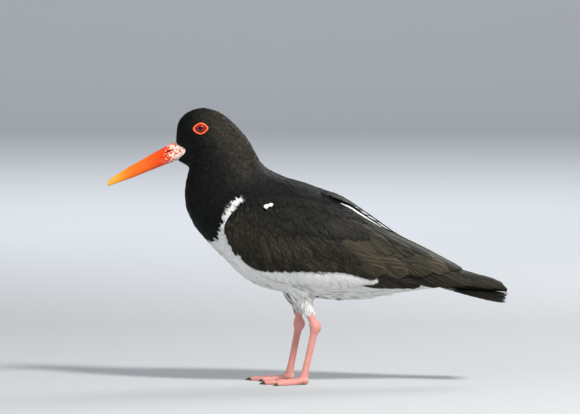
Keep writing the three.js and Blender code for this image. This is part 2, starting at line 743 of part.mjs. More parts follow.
function tailFeather(i, side) {
  const rootY = side * (TAIL.rootY[0] + i * TAIL.rootY[1]);
  const tipY = side * (TAIL.tipY[0] + i * TAIL.tipY[1]);
  const tipX = TAIL.tipX - i * TAIL.shorter;
  const steps = QUILL_SHAPE.length - 1;
  const places = QUILL_SHAPE.map((_, k) => {
    const share = k / steps;
    const x = TAIL.featherRootX + (tipX - TAIL.featherRootX) * share;
    const p = tailPoint(x, rootY + (tipY - rootY) * share);
    return p.setZ(p.z + TAIL.height[0] + TAIL.height[1] * i);
  });
  const frames = places.map((point, k) => {
    const ahead = places[Math.min(k + 1, steps)].clone();
    const tangent = ahead.sub(places[Math.max(k - 1, 0)]).normalize();
    const tilt = tailPoint(point.x, point.y + 1).sub(tailPoint(point.x, point.y - 1));
    const normal = tangent.clone().cross(tilt.normalize()).normalize();
    return { point, normal, across: tangent.clone().cross(normal).normalize() };
  });
  return vane(frames, QUILL_SHAPE.map((share) => (share * TAIL.width) / 2));
}

const tailFeathers = () =>
  Array.from({ length: TAIL.pairs }, (_, i) => i).flatMap((i) =>
    [LEFT, RIGHT].map((side) => tailFeather(i, side)),
  );

// Everything put together

const bird = new THREE.Group();

function addPiece(name, solid, finish) {
  const { points, triangles } = meshArrays(solid);
  const geometry = new THREE.BufferGeometry().setFromPoints(points);
  geometry.setIndex(triangles.flat());
  geometry.computeVertexNormals();
  const mesh = new THREE.Mesh(geometry, finish);
  mesh.name = name;
  bird.add(mesh);
}

const FORWARD = new THREE.Vector3(-1, 0, 0);
const BACKWARD = new THREE.Vector3(1, 0, 0);
const pocket = wingPocket();
const pockets = pocket.add(mirrored(pocket));
const eye = eyeParts();
const headCut = cutAt(HEAD_END);
const neckCut = cutAt(NECK_END);
const rumpEnd = new THREE.Vector3(TORSO_END_X, 0, 0);
const whole = bodySolid(0);
const billGrown = loftSolid(billLoft, { ...BILL_GRID, height: GAP });
const socket = sphere(EYE, -EYE.y, EYE.radius + GAP).add(lidRing(GAP));
const head = whole
  .intersect(headCut.before)
  .subtract(billGrown)
  .subtract(socket)
  .subtract(mirrored(socket));
const neck = whole.intersect(headCut.after).intersect(neckCut.before);
const torso = whole
  .intersect(neckCut.after)
  .intersect(halfSpace(rumpEnd, FORWARD))
  .subtract(pockets);
// The tail goes on from the torso with the rump, which carries its core and its feathers.
const rump = whole.intersect(halfSpace(rumpEnd.clone().setX(TORSO_END_X + GAP), BACKWARD));
const tail = joined([rump, tailCore(), ...tailFeathers()]).subtract(pockets);

addPiece("head", largest(head), FINISH.black);
addPiece("neck", largest(neck), FINISH.black);
addPiece("torso", largest(torso), FINISH.white);

const bodyGrown = bodySolid(GAP);
const billSolids = billParts(bodyGrown.intersect(halfSpace(BILL_ROOT_END, BACKWARD)));
addPiece("bill_upper", billSolids.upper, FINISH.bill);
addPiece("bill_lower", billSolids.lower, FINISH.bill);

const leftOfMiddle = halfSpace(new THREE.Vector3(0, -GAP, 0), new THREE.Vector3(0, -1, 0));
const wing = joined([wingShell(), ...wingFeathers()]).intersect(leftOfMiddle);
const sides = [
  ["left", (solid) => solid],
  ["right", mirrored],
];
for (const [name, turned] of sides) {
  addPiece(`eye_${name}`, turned(eye.ball), FINISH.eye);
  addPiece(`eyelid_${name}`, turned(eye.lid), FINISH.lid);
  addPiece(`wing_${name}`, turned(largest(wing)), FINISH.brownBlack);
}

addPiece("tail", largest(tail), FINISH.black);

for (const [name, leg] of Object.entries(LEGS)) {
  const parts = legParts(leg, bodyGrown);
  addPiece(`thigh_${name}`, parts.thigh, FINISH.white);
  addPiece(`shank_${name}`, parts.shank, FINISH.leg);
  addPiece(`tarsus_${name}`, parts.tarsus, FINISH.leg);
  addPiece(`foot_${name}`, parts.foot, FINISH.leg);
  parts.claws.forEach((claw, i) => addPiece(`claw_${name}_${TOES[i].name}`, claw, FINISH.claw));
}

// The origin is under the middle of the bird's box, at the level of its soles.
const box = new THREE.Box3().setFromObject(bird);
const middle = box.getCenter(new THREE.Vector3());
bird.position.set(-middle.x, -middle.y, -box.min.z);

export default bird;
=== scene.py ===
"""A Eurasian oystercatcher, life size, standing at rest with its wings folded.

Shapes are worked out in millimetres in the frame's own axes and turned to metres at the end:
X runs from bill to tail, Z is up, and the bird's left side is at -Y.
"""
import json
import math

import bmesh
import bpy
import numpy as np
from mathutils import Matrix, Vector

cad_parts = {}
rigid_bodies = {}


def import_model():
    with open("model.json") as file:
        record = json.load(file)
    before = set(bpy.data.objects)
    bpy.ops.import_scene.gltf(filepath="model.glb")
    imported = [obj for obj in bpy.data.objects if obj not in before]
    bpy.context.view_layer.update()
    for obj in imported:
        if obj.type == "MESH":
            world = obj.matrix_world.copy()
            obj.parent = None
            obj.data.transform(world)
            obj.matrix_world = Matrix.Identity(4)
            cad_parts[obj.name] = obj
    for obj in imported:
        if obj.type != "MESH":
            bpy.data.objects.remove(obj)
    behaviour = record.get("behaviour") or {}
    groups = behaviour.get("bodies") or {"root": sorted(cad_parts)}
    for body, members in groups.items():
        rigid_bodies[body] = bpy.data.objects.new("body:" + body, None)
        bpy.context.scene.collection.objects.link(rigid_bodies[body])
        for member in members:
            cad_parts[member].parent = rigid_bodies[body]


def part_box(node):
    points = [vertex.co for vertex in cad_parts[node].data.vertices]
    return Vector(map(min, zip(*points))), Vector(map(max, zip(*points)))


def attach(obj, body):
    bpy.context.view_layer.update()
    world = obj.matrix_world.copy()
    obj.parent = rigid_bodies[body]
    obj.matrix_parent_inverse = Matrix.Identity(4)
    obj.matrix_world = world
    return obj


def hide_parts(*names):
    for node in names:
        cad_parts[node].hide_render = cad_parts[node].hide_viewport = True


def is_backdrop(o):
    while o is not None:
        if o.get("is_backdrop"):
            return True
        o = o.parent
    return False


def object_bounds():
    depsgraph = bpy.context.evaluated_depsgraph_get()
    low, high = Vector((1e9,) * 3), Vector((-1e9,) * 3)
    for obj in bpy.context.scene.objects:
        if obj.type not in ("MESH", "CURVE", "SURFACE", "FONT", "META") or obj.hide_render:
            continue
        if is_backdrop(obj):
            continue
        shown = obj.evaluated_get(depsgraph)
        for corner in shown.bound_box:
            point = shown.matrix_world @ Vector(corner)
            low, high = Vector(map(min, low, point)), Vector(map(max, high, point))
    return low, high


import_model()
cad_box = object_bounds()

MM = 0.001
LEFT = -1
RIGHT = 1
SIDE_NAMES = {LEFT: "left", RIGHT: "right"}

# The photograph's scale in millimetres to a pixel, and the column and row that shapes are
# measured from
PIXEL = 0.9
MIDDLE_COLUMN = 307.5
FLOOR_ROW = 383

# How round the body's sections are, from 1 for an ellipse towards 0 for a box
ROUNDNESS = 0.94

# Where the tip of the bill is measured, and how far from there the frame has it along X
BILL_TIP_X = -180.2
SHIFT_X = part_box("bill_upper")[0][0] / MM - BILL_TIP_X

# Back [x, z], throat or belly [x, z] and half the width at each place along the body
BODY = np.array([
    [-118.4, 217.8, -117.5, 200.3, 6.3],
    [-115.7, 235.4, -109.4, 196.0, 13.0],
    [-104.9, 245.3, -106.5, 193.1, 16.0],
    [-89.6, 247.5, -107.6, 187.2, 17.5],
    [-72.5, 239.9, -109.5, 179.1, 19.5],
    [-54.5, 221.4, -110.6, 169.2, 22.5],
    [-40.1, 198.9, -108.5, 153.9, 28.0],
    [-23.0, 188.1, -99.5, 136.8, 35.0],
    [0.5, 180.5, -78.8, 113.9, 42.0],
    [27.5, 169.7, -50.0, 90.0, 46.0],
    [54.5, 151.2, -6.8, 78.3, 45.0],
    [81.5, 132.3, 38.3, 75.2, 37.0],
    [108.5, 117.0, 79.7, 81.0, 25.0],
    [132.8, 104.0, 115.7, 86.4, 14.5],
])
SHOULDER = 6
WING_BED = np.array([
    *BODY[SHOULDER:SHOULDER + 6],
    [108.5, 117.0, 79.7, 77.4, 26.0],
    [132.8, 104.0, 112.1, 74.7, 18.5],
    [156.2, 95.9, 144.5, 71.1, 12.5],
    [173.3, 90.5, 167.9, 72.0, 9.0],
    [180.9, 85.1, 179.6, 72.0, 6.5],
])
# One section more, straight on, lets the tips of the longest feathers lie flat
WING_BED = np.vstack([WING_BED, 2 * WING_BED[-1] - WING_BED[-2]])
# Place along the bed, angle of the upper edge, angle of the lower edge and depth
WING = np.array([
    [1.12, 80, 102, 3.0],
    [1.3, 66, 118, 4.5],
    [2.0, 50, 135, 6.5],
    [3.0, 38, 137, 7.0],
    [4.0, 22, 129, 7.0],
    [5.0, 3, 114, 6.0],
    [6.0, 2, 112, 5.0],
    [7.0, 2.5, 98, 4.2],
    [8.0, 3, 85, 3.4],
    [9.0, 4, 80, 2.2],
    [9.85, 10, 60, 1.2],
])
# The same rows as the body's, from inside the face to the tip
BILL = np.array([
    [-111.2, 221.0, -104.0, 203.5, 7.2],
    [-118.4, 217.8, -117.5, 200.3, 6.4],
    [-132.8, 210.2, -132.0, 195.0, 5.2],
    [-141.8, 205.2, -141.5, 191.2, 4.4],
    [-151.0, 199.8, -150.6, 187.6, 3.7],
    [-160.0, 194.8, -159.7, 184.0, 3.0],
    [-169.0, 189.3, -168.8, 180.9, 2.3],
    [-177.0, 183.9, -176.8, 178.0, 1.6],
    [-180.2, 180.6, -179.8, 177.9, 1.0],
])
# The line between the two halves of the bill, in side view
MOUTH = np.array([
    [-184.0, 176.9], [-160.0, 189.4], [-142.0, 198.8], [-126.0, 205.6], [-112.0, 211.4],
    [-100.0, 215.6],
])
# The middle of an eye, as x, distance from the bird's middle and z
EYE = np.array([-95.9, 10.9, 229.5])
EYE_RADIUS = 6.2
# The middle of the hollow between eye and bill, its reach and how far it pinches the face
LORES = np.array([-112.0, 209.0])
LORES_REACH = 7.0
LORES_PINCH = 0.5


# Places and curves

def unit(vectors):
    return vectors / np.maximum(np.linalg.norm(vectors, axis=-1, keepdims=True), 1e-9)


def smoothstep(low, high, value):
    """Rises smoothly from 0 at low to 1 at high, or falls where low is the greater."""
    share = np.clip((value - low) / (high - low), 0, 1)
    return share * share * (3 - 2 * share)


def signed_power(value, power):
    return np.sign(value) * np.abs(value) ** power


def spline(rows, at):
    """Uniform Catmull-Rom through rows, with its ends reflected."""
    padded = np.vstack([2 * rows[0] - rows[1], rows, 2 * rows[-1] - rows[-2]])
    at = np.clip(np.asarray(at, float), 0, len(rows) - 1)
    first = np.minimum(at.astype(int), len(rows) - 2)
    w = (at - first)[..., None]
    p0, p1, p2, p3 = (padded[first + i] for i in range(4))
    slope1, slope2 = (p2 - p0) / 2, (p3 - p1) / 2
    return (p1 + slope1 * w + (3 * (p2 - p1) - 2 * slope1 - slope2) * w ** 2
            + (2 * (p1 - p2) + slope1 + slope2) * w ** 3)


class Loft:
    """Superelliptic sections on a fan of lines from back to belly."""

    SLOPE_STEP = 0.02
    HALVINGS = 22
    NEARLY_ONE = 0.9995

    def __init__(self, stations):
        self.rows = stations
        self.last = len(stations) - 1

    def point(self, at, degrees, height=0.0):
        at, degrees, height = np.broadcast_arrays(at, degrees, height)
        row = spline(self.rows, at)
        back, belly, half = row[..., :2], row[..., 2:4], row[..., 4]
        middle = (back + belly) / 2
        reach = np.linalg.norm(back - belly, axis=-1) / 2
        up = unit(back - belly)
        angle = np.radians(degrees)
        level = (reach + height) * signed_power(np.cos(angle), ROUNDNESS)
        side = (half + height) * signed_power(np.sin(angle), ROUNDNESS)
        return np.stack([middle[..., 0] + up[..., 0] * level, -side,
                         middle[..., 1] + up[..., 1] * level], axis=-1)

    def slopes(self, at, degrees):
        """How the surface runs along the body and round it, per station and per degree."""
        ahead = np.minimum(at + self.SLOPE_STEP, self.last)
        behind = np.maximum(at - self.SLOPE_STEP, 0)
        along = self.point(ahead, degrees) - self.point(behind, degrees)
        along = along / (ahead - behind)[..., None]
        around = (self.point(at, degrees + 1) - self.point(at, degrees - 1)) / 2
        return along, around

    def normal(self, at, degrees):
        along, around = self.slopes(at, degrees)
        return unit(np.cross(around, along))

    def place(self, x, y, z):
        """The station and the angle from the back under a point."""
        near, far = np.zeros_like(x), np.full_like(x, self.last)
        for _ in range(self.HALVINGS):
            at = (near + far) / 2
            row = spline(self.rows, at)
            side = ((row[..., 2] - row[..., 0]) * (z - row[..., 1])
                    - (row[..., 3] - row[..., 1]) * (x - row[..., 0]))
            near, far = np.where(side > 0, at, near), np.where(side > 0, far, at)
        row = spline(self.rows, near)
        back, belly = row[..., :2], row[..., 2:4]
        reach = np.linalg.norm(back - belly, axis=-1) / 2
        up = unit(back - belly)
        offset = np.stack([x, z], axis=-1) - (back + belly) / 2
        level = np.clip((offset * up).sum(-1) / reach, -self.NEARLY_ONE, self.NEARLY_ONE)
        degrees = np.degrees(np.arccos(signed_power(level, 1 / ROUNDNESS)))
        return near, np.where(y > 0, 360 - degrees, degrees)


body = Loft(BODY)
wing_bed = Loft(WING_BED)
bill_loft = Loft(BILL)


def from_back(degrees):
    """The angle from the back on either side."""
    return np.minimum(degrees, 360 - degrees)


def side_view(points):
    return points[..., [0, 2]]


def wing_edges(at):
    """The angles of the folded wing's upper and lower edge."""
    return (np.interp(at, WING[:, 0], WING[:, column]) for column in (1, 2))


def photo(x, y):
    """A pixel of the photograph as a place in side view."""
    return np.array([(x - MIDDLE_COLUMN) * PIXEL, (FLOOR_ROW - y) * PIXEL])


def outline(*pixels):
    return np.array([photo(x, y) for x, y in pixels])


def depth_inside(points, polygon):
    """How far points of the side view lie inside a polygon, negative outside it."""
    start, end = polygon, np.roll(polygon, -1, axis=0)
    edge = end - start
    offset = points[:, None] - start[None]
    share = np.clip((offset * edge).sum(-1) / (edge ** 2).sum(-1), 0, 1)
    nearest = np.linalg.norm(offset - share[..., None] * edge, axis=-1).min(axis=1)
    above = (start[None, :, 1] > points[:, None, 1]) != (end[None, :, 1] > points[:, None, 1])
    rise = np.where(edge[:, 1] == 0, 1e-9, edge[:, 1])
    cross = start[:, 0] + (points[:, None, 1] - start[:, 1]) * edge[:, 0] / rise
    inside = (above & (points[:, None, 0] < cross)).sum(axis=1) % 2 == 1
    return np.where(inside, nearest, -nearest)


# Markings of the plumage, drawn in side view

# The white of the belly and of the crescent that rises before the wing
WHITE_PARTS = outline(
    (190, 243.5), (200, 242.5), (207, 240.5), (213, 240), (217, 237), (220, 230), (221.5, 223),
    (224, 214), (227, 207), (231.5, 200.5), (237, 197.5), (243, 195), (244.5, 199.5),
    (239, 201), (234, 206), (231.5, 214), (230.5, 224), (233, 238), (250, 254), (275, 262),
    (330, 255), (400, 250), (452, 262), (456, 300), (380, 330), (180, 330))
# The bare root of the bill, where it meets the feathers of the face
FEATHER_LINE = outline((150, 120), (175.5, 140), (181, 143.5), (186, 146.5), (188.5, 150),
                       (186, 153.5), (182, 157), (177, 160.8), (150, 175))
# The rump, from this station on and as far round from the back
RUMP_STATION = 9.5
RUMP_DEGREES = 55
EDGE_BLUR = 0.5


def body_white(points):
    """How white the plumage is at points of the body. What lies between the wings is dark."""
    at, degrees = body.place(*points.T)
    on_rump = (at > RUMP_STATION) & (from_back(degrees) < RUMP_DEGREES)
    inside = depth_inside(side_view(points), WHITE_PARTS)
    return smoothstep(-EDGE_BLUR, EDGE_BLUR, inside) * ~on_rump


# Meshes

def store(mesh, attributes):
    """Keeps numbers or vectors at a mesh's points."""
    for key, values in attributes.items():
        kind, field = ("FLOAT", "value") if values.ndim == 1 else ("FLOAT_VECTOR", "vector")
        layer = mesh.attributes.new(key, kind, "POINT")
        layer.data.foreach_set(field, values.astype(np.float32).ravel())


def corner_points(mesh):
    """The point of each corner of a mesh's faces."""
    corners = np.zeros(len(mesh.loops), int)
    mesh.loops.foreach_get("vertex_index", corners)
    return corners


def in_scene(name, data):
    """A new object of the scene, at the origin."""
    obj = bpy.data.objects.new(name, data)
    bpy.context.scene.collection.objects.link(obj)
    return obj


def build(name, points, faces, attributes=None, uvs=None):
    """An object from points in millimetres, with named values at its points."""
    mesh = bpy.data.meshes.new(name)
    moved = np.asarray(points, float) + np.array([SHIFT_X, 0, 0])
    mesh.from_pydata((moved * MM).tolist(), [], [list(face) for face in faces])
    store(mesh, attributes or {})
    corners = corner_points(mesh)
    for key, values in (uvs or {}).items():
        layer = mesh.uv_layers.new(name=key)
        layer.data.foreach_set("uv", values[corners].astype(np.float32).ravel())
    mesh.shade_smooth()
    return in_scene(name, mesh)


def grid_faces(rows, columns, closed=True, start=0):
    """Quads over a grid of points whose rows run round when closed."""
    width = columns if closed else columns - 1
    i, j = np.meshgrid(np.arange(rows - 1), np.arange(width), indexing="ij")
    a = start + i * columns + j
    b = start + i * columns + (j + 1) % columns
    return np.stack([a, a + columns, b + columns, b], axis=-1).reshape(-1, 4)


def capped_tube(rings):
    """Points and faces of rings closed at both ends."""
    rows, columns = rings.shape[:2]
    points = np.vstack([rings.reshape(-1, 3), rings[0].mean(0), rings[-1].mean(0)])
    faces = grid_faces(rows, columns).tolist()
    first, last = rows * columns, rows * columns + 1
    for j in range(columns):
        k = (j + 1) % columns
        faces.append([first, j, k])
        faces.append([last, (rows - 1) * columns + k, (rows - 1) * columns + j])
    return points, faces


def joined(pieces):
    """The points and faces of many pieces as one list each."""
    points, faces, count = [], [], 0
    for piece_points, piece_faces in pieces:
        points.append(piece_points)
        faces += [[index + count for index in face] for face in piece_faces]
        count += len(piece_points)
    return np.vstack(points), faces


def face_outwards(obj):
    """Turns the faces of a closed shape outwards."""
    shape = bmesh.new()
    shape.from_mesh(obj.data)
    bmesh.ops.recalc_face_normals(shape, faces=shape.faces)
    if shape.calc_volume(signed=True) < 0:
        bmesh.ops.reverse_faces(shape, faces=shape.faces)
    shape.to_mesh(obj.data)
    shape.free()


def evaluated(obj, name):
    """A plain copy of what an object's modifiers make, in the object's place."""
    graph = bpy.context.evaluated_depsgraph_get()
    mesh = bpy.data.meshes.new_from_object(obj.evaluated_get(graph), depsgraph=graph)
    mesh.name = name
    bpy.data.objects.remove(obj)
    return in_scene(name, mesh)


def remeshed(obj, voxel, smoothing):
    """One seamless surface round closed shapes that cross."""
    name = obj.name
    remesh = obj.modifiers.new("one surface", "REMESH")
    remesh.mode = "VOXEL"
    remesh.voxel_size = voxel * MM
    remesh.use_smooth_shade = True
    smooth = obj.modifiers.new("soften", "SMOOTH")
    smooth.factor = 0.5
    smooth.iterations = smoothing
    obj.name = name + "_source"
    return evaluated(obj, name)


def mesh_points(obj):
    """An object's points in millimetres, as shapes are measured."""
    points = np.zeros(len(obj.data.vertices) * 3)
    obj.data.vertices.foreach_get("co", points)
    return points.reshape(-1, 3) / MM - np.array([SHIFT_X, 0, 0])


def set_mesh_points(obj, points):
    moved = (points + np.array([SHIFT_X, 0, 0])) * MM
    obj.data.vertices.foreach_set("co", moved.astype(np.float32).ravel())
    obj.data.update()


def put(obj, slot, material, replaces=()):
    """Gives a finished piece its material and the solids whose place it takes. The slot is not
    used.
    """
    obj.data.materials.clear()
    obj.data.materials.append(material)
    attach(obj, "root")
    if replaces:
        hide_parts(*replaces)


# Node trees

def add_node(tree, kind, settings=None, values=None):
    """A node with its settings, and a value or a link for each socket that is named."""
    node = tree.nodes.new(kind)
    for key, value in (settings or {}).items():
        setattr(node, key, value)
    for key, value in (values or {}).items():
        link = getattr(value, "socket", value)
        if isinstance(link, bpy.types.NodeSocket):
            tree.links.new(link, node.inputs[key])
        else:
            node.inputs[key].default_value = link
    return node


class Term:
    """A shader socket that takes part in sums."""

    def __init__(self, tree, socket):
        self.tree = tree
        self.socket = socket

    def math(self, operation, *others, swap=False):
        terms = [self, *others]
        if swap:
            terms.reverse()
        node = add_node(self.tree, "ShaderNodeMath", {"operation": operation},
                        dict(enumerate(terms)))
        return Term(self.tree, node.outputs[0])

    def __add__(self, other):
        return self.math("ADD", other)

    def __mul__(self, other):
        return self.math("MULTIPLY", other)

    def __sub__(self, other):
        return self.math("SUBTRACT", other)

    def __rsub__(self, other):
        return self.math("SUBTRACT", other, swap=True)

    __radd__ = __add__
    __rmul__ = __mul__

    def power(self, other):
        return self.math("POWER", other)

    def away(self):
        return self.math("ABSOLUTE")

    def between(self, low, high):
        """Rises smoothly from 0 at low to 1 at high."""
        node = add_node(self.tree, "ShaderNodeMapRange", {"interpolation_type": "SMOOTHSTEP"},
                        {"Value": self, "From Min": low, "From Max": high})
        return Term(self.tree, node.outputs["Result"])


def spaced(values):
    """Socket names with their spaces, from names with underscores."""
    return {key.replace("_", " "): value for key, value in values.items()}


class Finish:
    """A material built round one Principled shader."""

    def __init__(self, name, **shader):
        self.material = bpy.data.materials.new(name)
        self.material.use_nodes = True
        self.tree = self.material.node_tree
        self.tree.nodes.clear()
        self.shader = add_node(self.tree, "ShaderNodeBsdfPrincipled", None, shader)
        add_node(self.tree, "ShaderNodeOutputMaterial", None,
                 {"Surface": self.shader.outputs["BSDF"]})

    def node(self, kind, settings=None, output=0, **values):
        made = add_node(self.tree, kind, settings, spaced(values))
        return Term(self.tree, made.outputs[output])

    def attribute(self, name):
        return self.node("ShaderNodeAttribute", {"attribute_name": name}, "Fac")

    def axes(self, vector):
        split = add_node(self.tree, "ShaderNodeSeparateXYZ", None, {"Vector": vector})
        return [Term(self.tree, output) for output in split.outputs]

    def place(self):
        return self.node("ShaderNodeTexCoord", None, "Object")

    def vane(self):
        return self.node("ShaderNodeUVMap", {"uv_map": "Vane"}, "UV")

    def scaled(self, vector, scale):
        return self.node("ShaderNodeMapping", None, 0, Vector=vector, Scale=scale)

    def noise(self, vector, scale, detail=3.0, roughness=0.55):
        return self.node("ShaderNodeTexNoise", None, "Fac", Vector=vector, Scale=scale,
                         Detail=detail, Roughness=roughness)

    def mix(self, share, first, second):
        made = add_node(self.tree, "ShaderNodeMix", {"data_type": "RGBA"},
                        {0: share, 6: first, 7: second})
        return Term(self.tree, made.outputs[2])

    def feed(self, **inputs):
        for key, term in spaced(inputs).items():
            self.tree.links.new(term.socket, self.shader.inputs[key])

    def bump(self, height, strength, distance):
        made = add_node(self.tree, "ShaderNodeBump", None,
                        {"Height": height, "Strength": strength, "Distance": distance})
        self.tree.links.new(made.outputs["Normal"], self.shader.inputs["Normal"])


def colour(red, green, blue):
    return (red, green, blue, 1.0)


BLACK = colour(0.0022, 0.0029, 0.0034)
SOFT_BLACK = colour(0.0065, 0.0073, 0.0068)
BROWN = colour(0.017, 0.0145, 0.0095)
# Pale brown of some feathers, and the colour of painted highlights on barbs
PALE_BROWN_AND_GLINT = colour(0.135, 0.112, 0.070)
WHITE = colour(0.84, 0.84, 0.82)
SHADED_WHITE = colour(0.60, 0.61, 0.60)
# Painted shade for the edges of white feathers, where one overlaps the next
EDGE_SHADE = colour(0.52, 0.52, 0.50)

# Colours of the bare parts. Where there are two, a grain picks between them.
AMBERS = (colour(0.86, 0.36, 0.012), colour(0.92, 0.47, 0.03))
ORANGES = (colour(0.84, 0.115, 0.001), colour(0.93, 0.19, 0.003))
REDS = (colour(0.72, 0.028, 0.001), colour(0.86, 0.075, 0.003))
OLD_HORN = colour(0.88, 0.83, 0.72)
SCRATCH = colour(0.92, 0.36, 0.12)
# Painted shade in the mouth line and in the nostril's slit
MOUTH_SHADE = colour(0.05, 0.012, 0.004)
INNER_IRIS = (colour(0.16, 0.003, 0.006), colour(0.40, 0.012, 0.012))
OUTER_IRIS = (colour(0.38, 0.008, 0.008), colour(0.62, 0.03, 0.015))
IRIS_RIM = colour(0.05, 0.004, 0.004)
PUPIL = colour(0.001, 0.001, 0.001)
LID_REDS = (colour(0.78, 0.05, 0.008), colour(0.93, 0.17, 0.03))
LEG_PINKS = (colour(0.66, 0.24, 0.205), colour(0.76, 0.37, 0.325))
SCALE_GROOVE = colour(0.42, 0.14, 0.12)
CLAW_HORNS = (colour(0.018, 0.014, 0.012), colour(0.07, 0.05, 0.04))

# Where along the bill, in millimetres, one colour gives way to the next
AMBER_TO_ORANGE = (-178.0, -156.0)
ORANGE_TO_RED = (-156.0, -128.0)
RED_TO_OLD_HORN = (-134.0, -117.0)

# How far from the middle of the eye, in millimetres, its colours change
PUPIL_EDGE = (1.95, 2.12)
INNER_TO_OUTER_IRIS = (2.4, 4.2)
OUTER_IRIS_TO_RIM = (4.5, 5.1)


def plumage():
    """Feathers, whose colour comes from values kept at their points."""
    finish = Finish("plumage", **{"Specular IOR Level": 0.10})
    white, brown, tone = (finish.attribute(key) for key in ("white", "brown", "tone"))
    cloud = finish.noise(finish.place(), 260.0)

    # Dark and light feathers as a whole
    dark = finish.mix(cloud.between(0.35, 0.75), BLACK, SOFT_BLACK)
    brownish = finish.mix(tone.power(3.5) * 0.75, BROWN, PALE_BROWN_AND_GLINT)
    # The brown value browns dark feathers: real brown on wing and tail, painted sheen on the nape
    dark = finish.mix(brown, dark, brownish)
    dark = finish.mix(tone * 0.45, dark, SOFT_BLACK)
    light = finish.mix(cloud * 0.35 + tone * 0.25, WHITE, SHADED_WHITE)

    # Barbs that slant from the shaft to the edge, with painted highlights along them
    u, v, _ = finish.axes(finish.vane())
    from_shaft = (u - 0.5).away() * 2.0
    slant = v - from_shaft * 0.5
    weave = finish.node("ShaderNodeCombineXYZ", None, 0, X=u * 1.5, Y=slant * 20.0, Z=tone * 9.0)
    strands = finish.noise(weave, 1.0, 2.5)
    shaft = 1.0 - from_shaft.between(0.02, 0.07)
    # Painted highlights of sunlit barb edges: pale brown streaks on dark feathers, stronger where
    # browner
    barb_glint = strands.between(0.5, 0.68)
    dark = finish.mix(barb_glint * (0.03 + brown * 0.85), dark, PALE_BROWN_AND_GLINT)
    dark = finish.mix(shaft * 0.25, dark, BLACK)
    light = finish.mix(strands.between(0.5, 0.7) * 0.4, light, SHADED_WHITE)
    # Painted shade along the edges of white feathers
    light = finish.mix(from_shaft.between(0.7, 1.0) * 0.6, light, EDGE_SHADE)

    finish.bump(strands + shaft, 0.35, 0.0003)
    finish.feed(Base_Color=finish.mix(white, dark, light))
    finish.feed(Roughness=0.55 + white * 0.3)
    return finish.material


def skin_finish():
    """The skin under the coat, with the coat's own markings."""
    finish = Finish("under_plumage", Roughness=0.8, **{"Specular IOR Level": 0.2})
    fine = finish.noise(finish.place(), 900.0)
    dark = finish.mix(fine, BLACK, SOFT_BLACK)
    light = finish.mix(fine, WHITE, SHADED_WHITE)
    finish.feed(Base_Color=finish.mix(finish.attribute("white"), dark, light))
    finish.bump(fine, 0.3, 0.0004)
    return finish.material


def bill_finish():
    """Horn from amber at the tip to red, with old white horn flaking off at the root."""
    finish = Finish("bill_horn", **{"Specular IOR Level": 0.3, "Coat Weight": 0.1,
                                    "Coat Roughness": 0.3})
    place = finish.place()
    x, _, z = finish.axes(place)
    along = x * (1 / MM)
    streaks = finish.noise(finish.scaled(place, (120.0, 700.0, 700.0)), 1.0, 4.0)
    amber, orange, red = (finish.mix(streaks, *pair) for pair in (AMBERS, ORANGES, REDS))
    base = finish.mix(along.between(*AMBER_TO_ORANGE), amber, orange)
    base = finish.mix(along.between(*ORANGE_TO_RED), base, red)
    flakes = finish.noise(finish.scaled(place, (480.0, 700.0, 480.0)), 1.0, 5.0, 0.7)
    near_face = along.between(*RED_TO_OLD_HORN)
    flaky = (flakes + near_face * 0.2).between(0.63, 0.67) * near_face.between(0.02, 0.3)
    base = finish.mix(flaky * 0.92, base, OLD_HORN)
    scratches = finish.noise(finish.scaled(place, (90.0, 1600.0, 1600.0)), 1.0, 2.0)
    base = finish.mix(scratches.between(0.66, 0.8) * 0.3, base, SCRATCH)
    # Painted shade, from the inside value, in the gap between the mandibles and in the nostril's
    # slit
    inside = finish.attribute("inside").between(0.25, 0.9)
    base = finish.mix(inside, base, MOUTH_SHADE)
    finish.feed(Base_Color=base, Roughness=0.34 + flaky * 0.4 + streaks * 0.12)
    finish.bump(streaks + flaky * 1.5, 0.25, 0.0004)
    return finish.material


def eye_finish():
    """A red iris, darker inside and at its rim, round a black pupil."""
    finish = Finish("eye_ball", Roughness=0.05)
    x, _, z = finish.axes(finish.place())
    across = x * (1 / MM) - (EYE[0] + SHIFT_X)
    up = z * (1 / MM) - EYE[2]
    from_axis = (across * across + up * up).power(0.5)
    angle = up.math("ARCTAN2", across)
    fibres = finish.noise(finish.node("ShaderNodeCombineXYZ", None, 0, X=angle * 7.0,
                                      Y=from_axis * 0.8), 1.0, 3.0)
    inner, outer = (finish.mix(fibres, *pair) for pair in (INNER_IRIS, OUTER_IRIS))
    iris = finish.mix(from_axis.between(*INNER_TO_OUTER_IRIS), inner, outer)
    iris = finish.mix(from_axis.between(*OUTER_IRIS_TO_RIM), iris, IRIS_RIM)
    pupil = 1.0 - from_axis.between(*PUPIL_EDGE)
    finish.feed(Base_Color=finish.mix(pupil, iris, PUPIL))
    return finish.material


def lid_finish():
    finish = Finish("eyelid_skin", Roughness=0.42)
    fine = finish.noise(finish.place(), 1500.0)
    finish.feed(Base_Color=finish.mix(fine, *LID_REDS))
    finish.bump(fine, 0.4, 0.0002)
    return finish.material


def leg_finish():
    """Pink skin in small scales."""
    finish = Finish("leg_skin", Roughness=0.5)
    place = finish.place()
    cells = finish.node("ShaderNodeTexVoronoi", {"feature": "DISTANCE_TO_EDGE"}, "Distance",
                        Vector=place, Scale=820.0)
    patches = finish.noise(place, 130.0)
    pink = finish.mix(patches, *LEG_PINKS)
    groove = 1.0 - cells.between(0.0, 0.10)
    finish.feed(Base_Color=finish.mix(groove * 0.5, pink, SCALE_GROOVE))
    finish.bump(cells.between(0.0, 0.14), 0.45, 0.0003)
    return finish.material


def claw_finish():
    finish = Finish("claw_horn", Roughness=0.34)
    grain = finish.noise(finish.place(), 700.0)
    finish.feed(Base_Color=finish.mix(grain, *CLAW_HORNS))
    finish.bump(grain, 0.3, 0.0002)
    return finish.material


PLUMAGE = plumage()
UNDER_PLUMAGE = skin_finish()


# The skin under the coat, one surface over head, neck, torso and thighs

